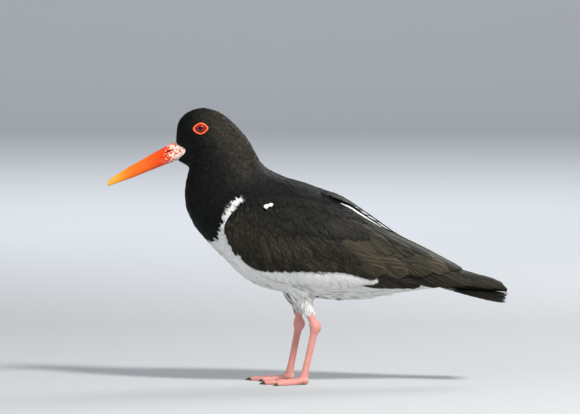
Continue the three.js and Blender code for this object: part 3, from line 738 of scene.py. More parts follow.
# Rows of [x, y, z, radius] down each thigh
THIGHS = {
    LEFT: np.array([[-10, -18, 100, 13.5], [-6.5, -19, 86, 11], [-2.3, -20, 75, 5.2],
                    [0.4, -20.6, 66.9, 3.4]]),
    RIGHT: np.array([[-15, 18, 100, 13.5], [-12.5, 19, 86, 11], [-10.0, 20, 75, 5.2],
                     [-8.4, 20.6, 67.2, 3.4]]),
}
SKIN_RINGS = 150
SKIN_COLUMNS = 96
THIGH_RINGS = 24
THIGH_COLUMNS = 28
THIGH_FLATNESS = 0.85
SKIN_VOXEL = 1.1
SKIN_SMOOTHING = 6


def coat_depth(at):
    """How far the skin lies inside the outline of the coat."""
    return np.interp(at, [0, 1.5, 4, 6, 8, 13], [0.5, 0.7, 1.2, 1.9, 2.4, 1.8])


def limb_rings(path, rings, sides, flat=1.0):
    """Rings round a path of [x, y, z, radius]."""
    at = np.linspace(0, len(path) - 1, rings)
    rows = spline(path, at)
    centre, radius = rows[:, :3], rows[:, 3]
    tangent = unit(np.gradient(centre, axis=0))
    across = unit(np.cross(np.array([0.0, 1.0, 0.0]), tangent))
    side = unit(np.cross(tangent, across))
    angle = np.linspace(0, 2 * np.pi, sides, endpoint=False)
    ring = (across[:, None] * np.cos(angle)[None, :, None]
            + side[:, None] * (np.sin(angle) * flat)[None, :, None])
    return centre[:, None] + ring * radius[:, None, None]


def narrow_lores(points):
    """Pinches the face between eye and bill."""
    distance = np.linalg.norm(side_view(points) - LORES, axis=-1) / LORES_REACH
    points[..., 1] *= 1 - LORES_PINCH * np.exp(-0.5 * distance ** 2)
    return points


def make_skin():
    at = np.linspace(0, body.last, SKIN_RINGS)[:, None]
    degrees = np.linspace(0, 360, SKIN_COLUMNS, endpoint=False)[None]
    pieces = [capped_tube(narrow_lores(body.point(at, degrees, -coat_depth(at))))]
    for path in THIGHS.values():
        pieces.append(capped_tube(limb_rings(path, THIGH_RINGS, THIGH_COLUMNS, THIGH_FLATNESS)))
    source = build("plumage_skin", *joined(pieces))
    face_outwards(source)
    return remeshed(source, SKIN_VOXEL, SKIN_SMOOTHING)


# The length of the coat's feathers at stations along the body, and on the thighs
COAT_STATIONS = [0, 0.6, 1.6, 3, 4.5, 6, 7.5, 10, 13]
COAT_LENGTHS = [1.9, 2.4, 3.4, 4.6, 6.0, 8.0, 10.0, 12.0, 13.0]
THIGH_COAT_LENGTH = 8.5
SHOULDER_SHORTENING = 0.35
# A feather shows the markings of this share of its length
TIP_SHARE = 0.65

# Where the coat changes along the body, and the height below which the legs are bare
FACE_END = 1.6
HEAD_END = 2.6
NECK_END = 5.6
FLUFF_START = (9.4, 10.2)
FLUFF_END = 11.6
FLUFF_DEGREES = 140
BARE_LEG_TOP = 68.5
THIGH_TOP = (88, 80)
THIGH_FLOW = unit(np.array([0.35, 0.0, -1.0]))
# How strongly the nape's black is browned: a painted sheen where light falls on it
NAPE_SHEEN = 0.42
PLAIN_TONE = 0.3
# Half the width and height of the opening in the coat round the eye
EYE_OPENING = [6.6, 5.0]
# Where one kind of coat gives way to the next: distances in millimetres, round the eye in
# shares of its opening, and for the nape's painted sheen in stations and in degrees from the back
THIGH_BLEND = (2.4, 0.6)
EYE_BLEND = (1.0, 1.9)
FACE_BLEND = (-0.6, 0.3)
SHOULDER_BLEND = (-6, 2)
NAPE_SHEEN_START = (1.6, 3.2)
NAPE_SHEEN_END = (7.0, 5.0)
NAPE_SHEEN_DEGREES = (95, 45)
# How far inside the wing's edges, in degrees, and how far behind its front the coat ends
WING_TOP_MARGIN = 9
WING_LOW_MARGIN = 4
WING_FRONT_STATION = 1.45
WING_FRONT_X = -66
SHOULDER_AREA = outline((190, 262), (207, 200), (250, 182), (268, 196), (262, 212), (236, 250))


def thigh_share(points):
    """1 at points on the thighs."""
    share = np.zeros(len(points))
    for path in THIGHS.values():
        rows = spline(path, np.linspace(0, 3, 40))
        gap = np.linalg.norm(points[:, None] - rows[None, :, :3], axis=-1) - rows[None, :, 3]
        share = np.maximum(share, smoothstep(*THIGH_BLEND, gap.min(axis=1)))
    return share * smoothstep(*THIGH_TOP, points[:, 2])


def under_wing(points):
    """1 where the folded wing hides the body."""
    at, degrees = wing_bed.place(*points.T)
    degrees = from_back(degrees)
    top, low = wing_edges(at)
    across = (degrees > top + WING_TOP_MARGIN) & (degrees < low - WING_LOW_MARGIN)
    along = (at > WING_FRONT_STATION) & (points[:, 0] > WING_FRONT_X)
    return (across & along).astype(float)


def coat_length(at, on_thigh, shoulder, eye_gap):
    length = np.interp(at, COAT_STATIONS, COAT_LENGTHS)
    length *= 1 - SHOULDER_SHORTENING * shoulder
    length *= 0.5 + 0.5 * smoothstep(*EYE_BLEND, eye_gap)
    return length * (1 - on_thigh) + THIGH_COAT_LENGTH * on_thigh


def mark_skin(skin):
    """Keeps at each point of the skin what the coat on it needs."""
    points = mesh_points(skin)
    flat = side_view(points)
    at, degrees = body.place(*points.T)
    on_thigh = thigh_share(points)
    shoulder = smoothstep(*SHOULDER_BLEND, depth_inside(flat, SHOULDER_AREA))
    eye_gap = np.linalg.norm((flat - side_view(EYE)) / EYE_OPENING, axis=1)
    length = coat_length(at, on_thigh, shoulder, eye_gap)
    along, _ = body.slopes(at, degrees)
    flow = unit(unit(along) * (1 - on_thigh)[:, None] + THIGH_FLOW * on_thigh[:, None])
    white = body_white(points)
    coat_white = body_white(points + flow * (TIP_SHARE * length)[:, None])
    for marking in (white, coat_white):
        marking[on_thigh > 0.5] = 1

    # Painted sheen on the nape, kept with the brown value
    nape_sheen = (smoothstep(*NAPE_SHEEN_START, at) * smoothstep(*NAPE_SHEEN_END, at)
            * smoothstep(*NAPE_SHEEN_DEGREES, from_back(degrees)))
    bare = smoothstep(*FACE_BLEND, depth_inside(flat, FEATHER_LINE)) * (at < FACE_END)
    feathered = (1 - bare) * (eye_gap > 1.0) * (points[:, 2] > BARE_LEG_TOP)
    in_sight = feathered * (1 - under_wing(points))
    fine = (at < NECK_END) | (shoulder > 0.6)
    loose = smoothstep(*FLUFF_START, at) * (at < FLUFF_END) * (from_back(degrees) > FLUFF_DEGREES)
    store(skin.data, {
        "flow": flow,
        "white": white,
        "coat_white": coat_white,
        "coat_length": length * MM,
        "brown": NAPE_SHEEN * nape_sheen * (1 - coat_white),
        "tone": np.full(len(points), PLAIN_TONE),
        "on_head": feathered * (at < HEAD_END),
        "on_neck": in_sight * (at >= HEAD_END) * fine,
        "on_torso": in_sight * (at >= HEAD_END) * ~fine * (on_thigh < 0.5),
        "on_thigh": feathered * (on_thigh >= 0.5),
        "on_fluff": in_sight * loose,
    })


# Small body feathers

FEATHER_ALONG = [0.0, 0.28, 0.55, 0.78, 0.9]
FEATHER_HALF = [0.12, 0.38, 0.5, 0.44, 0.3]
FEATHER_ACROSS = [-1.0, -0.4, 0.4, 1.0]
SPIKES_PER_EDGE = 2
SPIKE_AHEAD = 0.55
SPIKE_SPLAY = 1.1
SPIKE_DROOP = 0.03
FEATHER_ARCH = 0.05
FEATHER_ROOF = 0.10
FEATHER_TIP_BEND = 0.05
FEATHER_KINDS = 4
RAGGED = 0.22
FIRST_FEATHER_SEED = 40


def feather_spikes(start, end, ragged, draw):
    """The points of the spikes along one edge of a small feather."""
    for part in range(SPIKES_PER_EDGE):
        first = start + (end - start) * part / SPIKES_PER_EDGE
        last = start + (end - start) * (part + 1) / SPIKES_PER_EDGE
        middle = (first + last) / 2
        out = np.array([SPIKE_AHEAD, middle[1] * SPIKE_SPLAY, 0.0])
        tip = middle + unit(out) * ragged * draw.uniform(0.5, 1.2)
        tip[2] -= SPIKE_DROOP * draw.uniform(0.0, 2.0)
        yield [first.tolist(), last.tolist(), tip.tolist()]


def small_feather(name, ragged, seed):
    """One feather of length and width 1, its root at the origin and its tip along X."""
    draw = np.random.default_rng(seed)
    rows, columns = len(FEATHER_ALONG), len(FEATHER_ACROSS)
    points = []
    for t, half in zip(FEATHER_ALONG, FEATHER_HALF):
        for u in FEATHER_ACROSS:
            height = (FEATHER_ARCH * np.sin(np.pi * t) - FEATHER_ROOF * (u * half) ** 2
                      - FEATHER_TIP_BEND * t * t)
            points.append([t, u * half, height])
    faces = grid_faces(rows, columns, closed=False).tolist()
    rim = ([(i, 0) for i in range(2, rows)] + [(rows - 1, j) for j in range(1, columns - 1)]
           + [(i, columns - 1) for i in range(rows - 1, 1, -1)])
    rim = [np.array(points[i * columns + j]) for i, j in rim]
    for start, end in zip(rim[:-1], rim[1:]):
        for spike in feather_spikes(start, end, ragged, draw):
            count = len(points)
            points += spike
            faces.append([count + 1, count, count + 2])
    mesh = bpy.data.meshes.new(name)
    mesh.from_pydata(points, [], faces)
    layer = mesh.uv_layers.new(name="Vane")
    for loop in mesh.loops:
        x, y, _ = points[loop.vertex_index]
        layer.data[loop.index].uv = (y + 0.5, x)
    mesh.shade_smooth()
    return bpy.data.objects.new(name, mesh)


def feather_kinds(ragged):
    """Feathers that differ in their ragged edges, for the coat to pick from."""
    kinds = bpy.data.collections.new("feather_kinds")
    for i in range(FEATHER_KINDS):
        kinds.objects.link(small_feather(f"feather_kind_{i}", ragged, FIRST_FEATHER_SEED + i))
    return kinds


# How far a feather of the coat differs from the rest in lift, roll and length
LIFT_RANGE = (0.7, 1.35)
ROLL = 0.6
LENGTH_RANGE = (0.85, 1.2)
MOST_PER_SQUARE_METRE = 4.0e6
COAT_INPUTS = [
    ("Skin", "NodeSocketGeometry", None),
    ("Feathers", "NodeSocketCollection", None),
    ("Where", "NodeSocketString", ""),
    ("Spacing", "NodeSocketFloat", 0.002),
    ("Width share", "NodeSocketFloat", 0.6),
    ("Lift", "NodeSocketFloat", 0.2),
    ("Unruliness", "NodeSocketFloat", 0.2),
    ("Seed", "NodeSocketInt", 1),
    ("Material", "NodeSocketMaterial", None),
]


def coat_tree():
    """Feathers set over a skin along its flow, then made real."""
    tree = bpy.data.node_groups.new("feather_coat", "GeometryNodeTree")
    for name, kind, default in COAT_INPUTS:
        socket = tree.interface.new_socket(name, in_out="INPUT", socket_type=kind)
        if default is not None:
            socket.default_value = default
    tree.interface.new_socket("Coat", in_out="OUTPUT", socket_type="NodeSocketGeometry")

    def node(kind, settings=None, **values):
        return add_node(tree, kind, settings, spaced(values))

    given = node("NodeGroupInput").outputs

    def named(name, kind="FLOAT"):
        return node("GeometryNodeInputNamedAttribute", {"data_type": kind}, Name=name).outputs[0]

    def chance(low, high, extra):
        """A number between low and high, drawn anew for each feather."""
        seed = node("FunctionNodeIntegerMath", {"operation": "ADD"})
        tree.links.new(given["Seed"], seed.inputs[0])
        seed.inputs[1].default_value = extra
        made = node("FunctionNodeRandomValue", {"data_type": "FLOAT"})
        made.inputs[2].default_value = low
        made.inputs[3].default_value = high
        tree.links.new(seed.outputs[0], made.inputs["Seed"])
        return Term(tree, made.outputs[1])

    spread = node("GeometryNodeDistributePointsOnFaces", {"distribute_method": "POISSON"},
                  Mesh=given["Skin"], Distance_Min=given["Spacing"],
                  Density_Max=MOST_PER_SQUARE_METRE,
                  Density_Factor=named(given["Where"]), Seed=given["Seed"])
    upright = node("FunctionNodeAlignRotationToVector", {"axis": "Z"},
                   Vector=spread.outputs["Normal"])
    aimed = node("FunctionNodeAlignRotationToVector", {"axis": "X", "pivot_axis": "Z"},
                 Rotation=upright.outputs[0], Vector=named("flow", "FLOAT_VECTOR"))
    wild = Term(tree, given["Unruliness"])
    lift = Term(tree, given["Lift"]) * chance(*LIFT_RANGE, 11)
    turn = node("ShaderNodeCombineXYZ", None, X=wild * chance(-ROLL, ROLL, 12), Y=lift * -1.0,
                Z=wild * chance(-1.0, 1.0, 13))
    turned = node("FunctionNodeEulerToRotation", None, Euler=turn.outputs[0])
    rotation = node("FunctionNodeRotateRotation", {"rotation_space": "LOCAL"},
                    Rotation=aimed.outputs[0], Rotate_By=turned.outputs[0])
    length = Term(tree, named("coat_length")) * chance(*LENGTH_RANGE, 14)
    width = length * Term(tree, given["Width share"])
    size = node("ShaderNodeCombineXYZ", None, X=length, Y=width, Z=length)
    toned = node("GeometryNodeStoreNamedAttribute", {"data_type": "FLOAT", "domain": "POINT"},
                 Geometry=spread.outputs["Points"], Name="tone", Value=chance(0.0, 1.0, 15))
    marked = node("GeometryNodeStoreNamedAttribute", {"data_type": "FLOAT", "domain": "POINT"},
                  Geometry=toned.outputs[0], Name="white", Value=named("coat_white"))
    kinds = node("GeometryNodeCollectionInfo", None, Collection=given["Feathers"],
                 Separate_Children=True, Reset_Children=True)
    placed = node("GeometryNodeInstanceOnPoints", None, Points=marked.outputs[0],
                  Instance=kinds.outputs[0], Pick_Instance=True, Rotation=rotation.outputs[0],
                  Scale=size.outputs[0])
    real = node("GeometryNodeRealizeInstances", None, Geometry=placed.outputs[0])
    finished = node("GeometryNodeSetMaterial", None, Geometry=real.outputs[0],
                    Material=given["Material"])
    node("NodeGroupOutput", None, Coat=finished.outputs[0])
    return tree


def body_spread(roots):
    """The unwrap of the body: station along it and angle round it."""
    at, degrees = body.place(*roots.T)
    return np.stack([at, degrees], axis=1)


def wing_spread(roots):
    """The unwrap of one wing: station along it and angle from the back."""
    at, degrees = wing_bed.place(*roots.T)
    return np.stack([at, from_back(degrees)], axis=1)


def thigh_spread(roots):
    """The unwrap of both thighs, side by side: angle round each one and height."""
    spots = []
    for side, path in THIGHS.items():
        centre = [np.interp(-roots[:, 2], -path[:, 2], path[:, k]) for k in (0, 1)]
        centre = np.stack(centre, axis=1)
        offset = roots[:, :2] - centre
        spots.append(np.arctan2(offset[:, 1] * side, offset[:, 0]) + 4 * side)
    turn = np.where(roots[:, 1] < 0, spots[0], spots[1])
    return np.stack([turn, roots[:, 2]], axis=1)


def grow_coat(name, skin, tree, kinds, spread, **inputs):
    """A mesh of feathers over a skin, with the unwrap that their roots are placed on."""
    carrier = in_scene(name + "_carrier", skin.data.copy())
    modifier = carrier.modifiers.new("coat", "NODES")
    modifier.node_group = tree
    given = {"Feathers": kinds, "Material": PLUMAGE, **inputs}
    for item in tree.interface.items_tree:
        if item.in_out == "INPUT" and item.name in given:
            modifier[item.identifier] = given[item.name]
    coat = evaluated(carrier, name)
    patch_coat(coat, spread, len(kinds.objects[0].data.vertices))
    coat.data.shade_smooth()
    return coat


# The size of a feather's patch of the map, and how many of its points are its root
PATCH = 0.003
ROOT_POINTS = len(FEATHER_ACROSS)
GUIDES = ("flow", "coat_white", "coat_length", "on_head", "on_neck", "on_torso", "on_thigh",
          "on_fluff", "on_wing")


def patch_coat(coat, spread, feather_points):
    """Gives each feather a small patch of the map at its root's place on the skin."""
    mesh = coat.data
    corners = corner_points(mesh)
    vane = np.zeros(len(corners) * 2, np.float32)
    mesh.attributes["Vane"].data.foreach_get("vector", vane)
    vane = vane.reshape(-1, 2)
    roots = mesh_points(coat).reshape(-1, feather_points, 3)[:, :ROOT_POINTS].mean(axis=1)
    spot = spread(roots)
    low, high = spot.min(axis=0), spot.max(axis=0)
    spot = PATCH + (1 - 2 * PATCH) * (spot - low) / (high - low)
    layer = mesh.uv_layers.new(name="OFBake")
    patch = spot[corners // feather_points] + (vane - 0.5) * PATCH
    layer.data.foreach_set("uv", patch.astype(np.float32).ravel())
    for key in GUIDES:
        if key in mesh.attributes:
            mesh.attributes.remove(mesh.attributes[key])


# Large feathers, each a vane that follows the surface under it

# A large feather: its thickness, the height and width of its shaft, and how its edges bend back
VANE_STEPS = 14
VANE_COLUMNS = 9
VANE_THICKNESS = 0.28
VANE_CAMBER = 0.03
SHAFT_HEIGHT = 0.10
SHAFT_WIDTH = 0.07
SWEEP_POWER = 1.6
WING_SWEEP = 0.28
WING_WEAR = 0.035
TAIL_SWEEP = 0.3
TAIL_WEAR = 0.03

# Its width as a share of the whole at shares of its length
COVERT_PROFILE = np.array([[0, 0.35], [0.3, 0.85], [0.6, 1.0], [0.85, 0.86], [0.95, 0.55],
                           [1, 0.12]])
QUILL_PROFILE = np.array([[0, 0.3], [0.2, 0.8], [0.5, 1.0], [0.8, 0.98], [0.93, 0.72],
                          [0.985, 0.35], [1, 0.05]])
LEAF_PROFILE = np.array([[0, 0.1], [0.3, 0.8], [0.6, 1.0], [0.85, 0.6], [1, 0.08]])

# The spikes along its edge: their spacing, and the share of its length where they begin
FRINGE_SPACING = 0.55
FRINGE_START = 0.42
FEWEST_SPIKES = 4
SPIKE_OVERLAP = 0.75
SPIKE_FORWARD = (0.8, 1.3)
SPIKE_ASIDE = (0.1, 0.6)
SPIKE_REACH = (0.35, 1.25)


def vane_places(u, t):
    """The place of each point of a vane across it and along it, for u from -1 to 1."""
    return np.stack(np.broadcast_arrays(u[None] * 0.5 + 0.5, t[:, None]), axis=-1)


def half_widths(profile, width, t):
    return np.interp(t, profile[:, 0], profile[:, 1]) * width / 2


def worn(draw, u, amount, rows):
    """Small unevenness of both edges of a vane."""
    return 1 + amount * draw.normal(size=(rows, len(u))) * (np.abs(u) > 0.9)[None]


def shaft_height(u):
    return SHAFT_HEIGHT * np.exp(-(u / SHAFT_WIDTH) ** 2)[None]


def vane_faces(rows, columns):
    """A closed skin over the upper and then the under points of a vane."""
    side = rows * columns
    top = grid_faces(rows, columns, closed=False)
    low = grid_faces(rows, columns, closed=False, start=side)[:, ::-1]
    ring = np.array([*range(columns),
                     *(i * columns + columns - 1 for i in range(1, rows)),
                     *((rows - 1) * columns + j for j in range(columns - 2, -1, -1)),
                     *(i * columns for i in range(rows - 2, 0, -1))])
    after = np.roll(ring, -1)
    wall = np.stack([ring, after, after + side, ring + side], axis=1)
    return np.vstack([top, low, wall])


def fringe(sheet, places, length, draw):
    """Thin spikes along a vane's outer edge: their points, and their place on the vane."""
    rows, columns = sheet.shape[:2]
    first = int(FRINGE_START * (rows - 1))
    rim = ([(i, 0) for i in range(first, rows)]
           + [(rows - 1, j) for j in range(1, columns)]
           + [(i, columns - 1) for i in range(rows - 2, first - 1, -1)])
    line = np.array([sheet[place] for place in rim])
    spots = np.array([places[place] for place in rim])
    shaft = np.array([sheet[i, columns // 2] for i, _ in rim])
    ahead = unit(sheet[-1, columns // 2] - sheet[-2, columns // 2])
    run = np.concatenate([[0], np.cumsum(np.linalg.norm(np.diff(line, axis=0), axis=1))])
    count = max(int(run[-1] / FRINGE_SPACING), FEWEST_SPIKES)
    middle = (np.arange(count) + 0.5) / count * run[-1]
    half = run[-1] / count * SPIKE_OVERLAP

    def at(values, distance):
        return np.stack([np.interp(distance, run, column) for column in values.T], axis=1)

    outward = unit(at(line, middle) - at(shaft, middle))
    forward_pull = draw.uniform(*SPIKE_FORWARD, (count, 1))
    side_pull = draw.uniform(*SPIKE_ASIDE, (count, 1))
    way = unit(ahead * forward_pull + outward * side_pull)
    reach = length * draw.uniform(*SPIKE_REACH, (count, 1))
    tip = at(line, middle) + way * reach
    points = np.stack([at(line, middle - half), at(line, middle + half), tip], axis=1)
    return points.reshape(-1, 3), np.repeat(at(spots, middle), 3, axis=0)


def turned_outwards(points, faces):
    """Quads of a closed shape, turned round where they point into it."""
    a, b, c, d = np.moveaxis(points[faces] - points.mean(axis=0), 1, 0)
    volume = (a * np.cross(b, c)).sum() + (a * np.cross(c, d)).sum()
    return faces if volume > 0 else faces[:, ::-1]


# The tiles of the map beside each other, and the share of a tile that its margin takes
TILES_ACROSS = 20
TILE_MARGIN = 0.06


class Vanes:
    """Many vanes gathered into one piece."""

    def __init__(self):
        self.points, self.faces, self.count, self.tiles = [], [], 0, 0
        self.values = {key: [] for key in ("white", "brown", "tone")}
        self.places, self.tile = [], []

    def add(self, upper, under, places, **values):
        """Adds a vane, with its place on the vane for each point and its colour values."""
        rows, columns = upper.shape[:2]
        both = np.vstack([upper.reshape(-1, 3), under.reshape(-1, 3)])
        self.faces.append(turned_outwards(both, vane_faces(rows, columns)) + self.count)
        self.points.append(both)
        self.count += len(both)
        flat = places.reshape(-1, 2)
        self.places += [flat, flat]
        self.tile += [self.tiles, self.tiles + 1]
        self.tiles += 2
        for key, value in values.items():
            full = np.broadcast_to(value, (rows, columns)).reshape(-1)
            self.values[key] += [full, full]

    def add_fringe(self, points, places, out, **values):
        """Adds spikes, each a triangle that faces the way out."""
        faces = np.arange(len(points)).reshape(-1, 3)
        a, b, c = points.reshape(-1, 3, 3).transpose(1, 0, 2)
        inward = np.cross(b - a, c - a) @ out < 0
        faces[inward] = faces[inward][:, ::-1]
        self.faces.append(self.count + faces)
        self.points.append(points)
        self.count += len(points)
        self.places.append(places)
        self.tile.append(self.tiles - 2)
        for key, value in values.items():
            self.values[key].append(np.full(len(points), value))

    def patches(self):
        """A tile of the map for each side of each vane, which a fringe shares with its vane."""
        size = np.array([1 / TILES_ACROSS, 1 / math.ceil(self.tiles / TILES_ACROSS)])
        made = []
        for places, tile in zip(self.places, self.tile):
            corner = size * [tile % TILES_ACROSS, tile // TILES_ACROSS]
            made.append(corner + (TILE_MARGIN + (1 - 2 * TILE_MARGIN) * places) * size)
        return np.vstack(made)

    def piece(self, name):
        values = {key: np.concatenate(parts) for key, parts in self.values.items()}
        uvs = {"Vane": np.vstack(self.places), "OFBake": self.patches()}
        faces = [face.tolist() for part in self.faces for face in part]
        return build(name, np.vstack(self.points), faces, values, uvs)


# The folded wing

# How far the wing stands out of its bed at its edges and, beyond them, in its middle
WING_EDGE_SWELL = 0.3
WING_SWELL = 2.2
WING_SWELL_POWER = 0.7
WING_END_LENGTH = 1.5
WING_END_SWELL = 0.25

# Stations along the wing, and the angles by which its feathers lean down there, which start
# and reach their full lean at two angles from the back
LEAN_DEGREES = (28, 75)
LEAN_STATIONS = [1.1, 2.0, 3.5, 5.0, 6.5, 10]
LEAN_ANGLES = [56, 44, 27, 12, 3, 0]


def wing_swell(at, degrees):
    """How far the folded wing stands out of its bed."""
    top, low = wing_edges(at)
    share = np.clip((degrees - top) / (low - top), 0, 1)
    fade = np.minimum(1, (WING[-1, 0] - at) / WING_END_LENGTH + WING_END_SWELL)
    return WING_EDGE_SWELL + WING_SWELL * fade * np.sin(np.pi * share) ** WING_SWELL_POWER


def wing_lean(at, degrees):
    """The angle by which the wing's feathers lean down from the body's own line."""
    return np.interp(at, LEAN_STATIONS, LEAN_ANGLES) * smoothstep(*LEAN_DEGREES, degrees)


def wing_flow(at, degrees):
    """The way feathers lie on the wing, as a change of station and angle per millimetre."""
    along, around = wing_bed.slopes(at, degrees)
    lean = np.radians(wing_lean(at, degrees))
    forward = unit(along)
    downward = unit(around - (around * forward).sum(-1, keepdims=True) * forward)
    way = forward * np.cos(lean)[..., None] + downward * np.sin(lean)[..., None]
    return way, *along_surface(along, around, way)


def along_surface(along, around, way):
    """The steps of station and angle that move a point of the bed by a vector."""
    aa, ab, bb = (along * along).sum(-1), (along * around).sum(-1), (around * around).sum(-1)
    wa, wb = (way * along).sum(-1), (way * around).sum(-1)
    det = aa * bb - ab * ab
    return (wa * bb - wb * ab) / det, (wb * aa - wa * ab) / det


def trace_back(tip, length, steps):
    """Stations and angles from a feather's root to its tip, traced against the flow."""
    at, degrees = np.array([tip[0]]), np.array([tip[1]])
    trail = [(at[0], degrees[0])]
    step = length / (steps - 1)
    for _ in range(steps - 1):
        _, d_at, d_degrees = wing_flow(at, degrees)
        at = at - d_at * step
        degrees = degrees - d_degrees * step
        trail.append((at[0], degrees[0]))
    return np.array(trail[::-1])


def wing_vane(vanes, tip, length, width, base, side, seed, row):
    """One feather of the wing, from its tip's [station, angle] back against the flow."""
    draw = np.random.default_rng(seed)
    t = np.linspace(0, 1, VANE_STEPS)
    u = np.linspace(-1, 1, VANE_COLUMNS)
    at, degrees = trace_back(tip, length, VANE_STEPS).T
    centre = wing_bed.point(at, degrees)
    normal = wing_bed.normal(at, degrees)
    tangent = unit(np.gradient(centre, axis=0))
    across = unit(np.cross(tangent, normal))
    half = half_widths(row["profile"], width, t)[:, None]
    offset = u[None] * half * worn(draw, u, WING_WEAR, VANE_STEPS)
    sweep = np.abs(u)[None] ** SWEEP_POWER * half * WING_SWEEP
    along, around = wing_bed.slopes(at, degrees)
    d_at, d_degrees = along_surface(along, around, across)
    s_at, s_degrees = along_surface(along, around, tangent)
    grid_at = at[:, None] + d_at[:, None] * offset - s_at[:, None] * sweep
    grid_degrees = degrees[:, None] + d_degrees[:, None] * offset - s_degrees[:, None] * sweep
    root = row["sink"] * smoothstep(0.35, 0.0, t)[:, None]
    height = (wing_swell(at, degrees)[:, None] + base - root + row["rise"] * t[:, None] ** 0.8
              + row["tilt"] * offset - VANE_CAMBER * offset ** 2 / np.maximum(half, 1)
              + shaft_height(u))
    upper = wing_bed.point(grid_at, grid_degrees, height)
    under = wing_bed.point(grid_at, grid_degrees, height - VANE_THICKNESS)
    places = vane_places(u, t)
    tone = draw.uniform(0.1, 0.9)
    brown, white = (row[key](t[:, None], u[None], upper) for key in ("brown", "white"))
    for sheet in (upper, under):
        sheet[..., 1] *= -side
    vanes.add(upper, under, places, tone=tone, brown=brown, white=white)
    if "ragged" in row:
        spikes, spots = fringe(upper, places, row["ragged"], draw)
        out = normal.mean(axis=0) * [1, -side, 1]
        vanes.add_fringe(spikes, spots, out, white=white[-1].mean(), brown=brown.mean(), tone=tone)


def side_places(points):
    """[station, angle] on the left wing's bed of [x, z] points of the side view."""
    at, degrees = wing_bed.place(points[:, 0], np.full(len(points), -1.0), points[:, 1])
    return np.stack([at, degrees], axis=1)


# The white bar of the wing
BAR_TOP = outline((240, 262), (262, 269), (300, 268.5), (345, 268), (355, 271), (366, 276),
                  (377, 277), (380, 300), (240, 300))
# The ripples of its upper edge: size, turn per millimetre and start
BAR_RIPPLES = [(1.1, 1.3, 0), (0.7, 2.9, 1)]


def bar_white(t, u, points):
    """White inside the bar, whose upper edge ripples."""
    flat = side_view(points).reshape(-1, 2)
    x = flat[:, 0]
    ripple = sum(size * np.sin(x * pace + shift) for size, pace, shift in BAR_RIPPLES)
    depth = depth_inside(flat + np.stack([0 * x, ripple], 1) * 0.8, BAR_TOP)
    return smoothstep(-0.2, 0.5, depth).reshape(points.shape[:2])


def no_white(t, u, points):
    return np.zeros(points.shape[:2])


def all_white(t, u, points):
    return np.ones(points.shape[:2])


def soft_brown(amount, fringe=0.0):
    """Brown that grows towards the edges and the tip of a feather."""
    def shade(t, u, points):
        edge = smoothstep(0.7, 1.0, np.abs(u)) * np.ones_like(t)
        tip = smoothstep(0.9, 1.0, t) * np.ones_like(u)
        return np.clip(amount + fringe * np.maximum(edge, tip), 0, 1)
    return shade


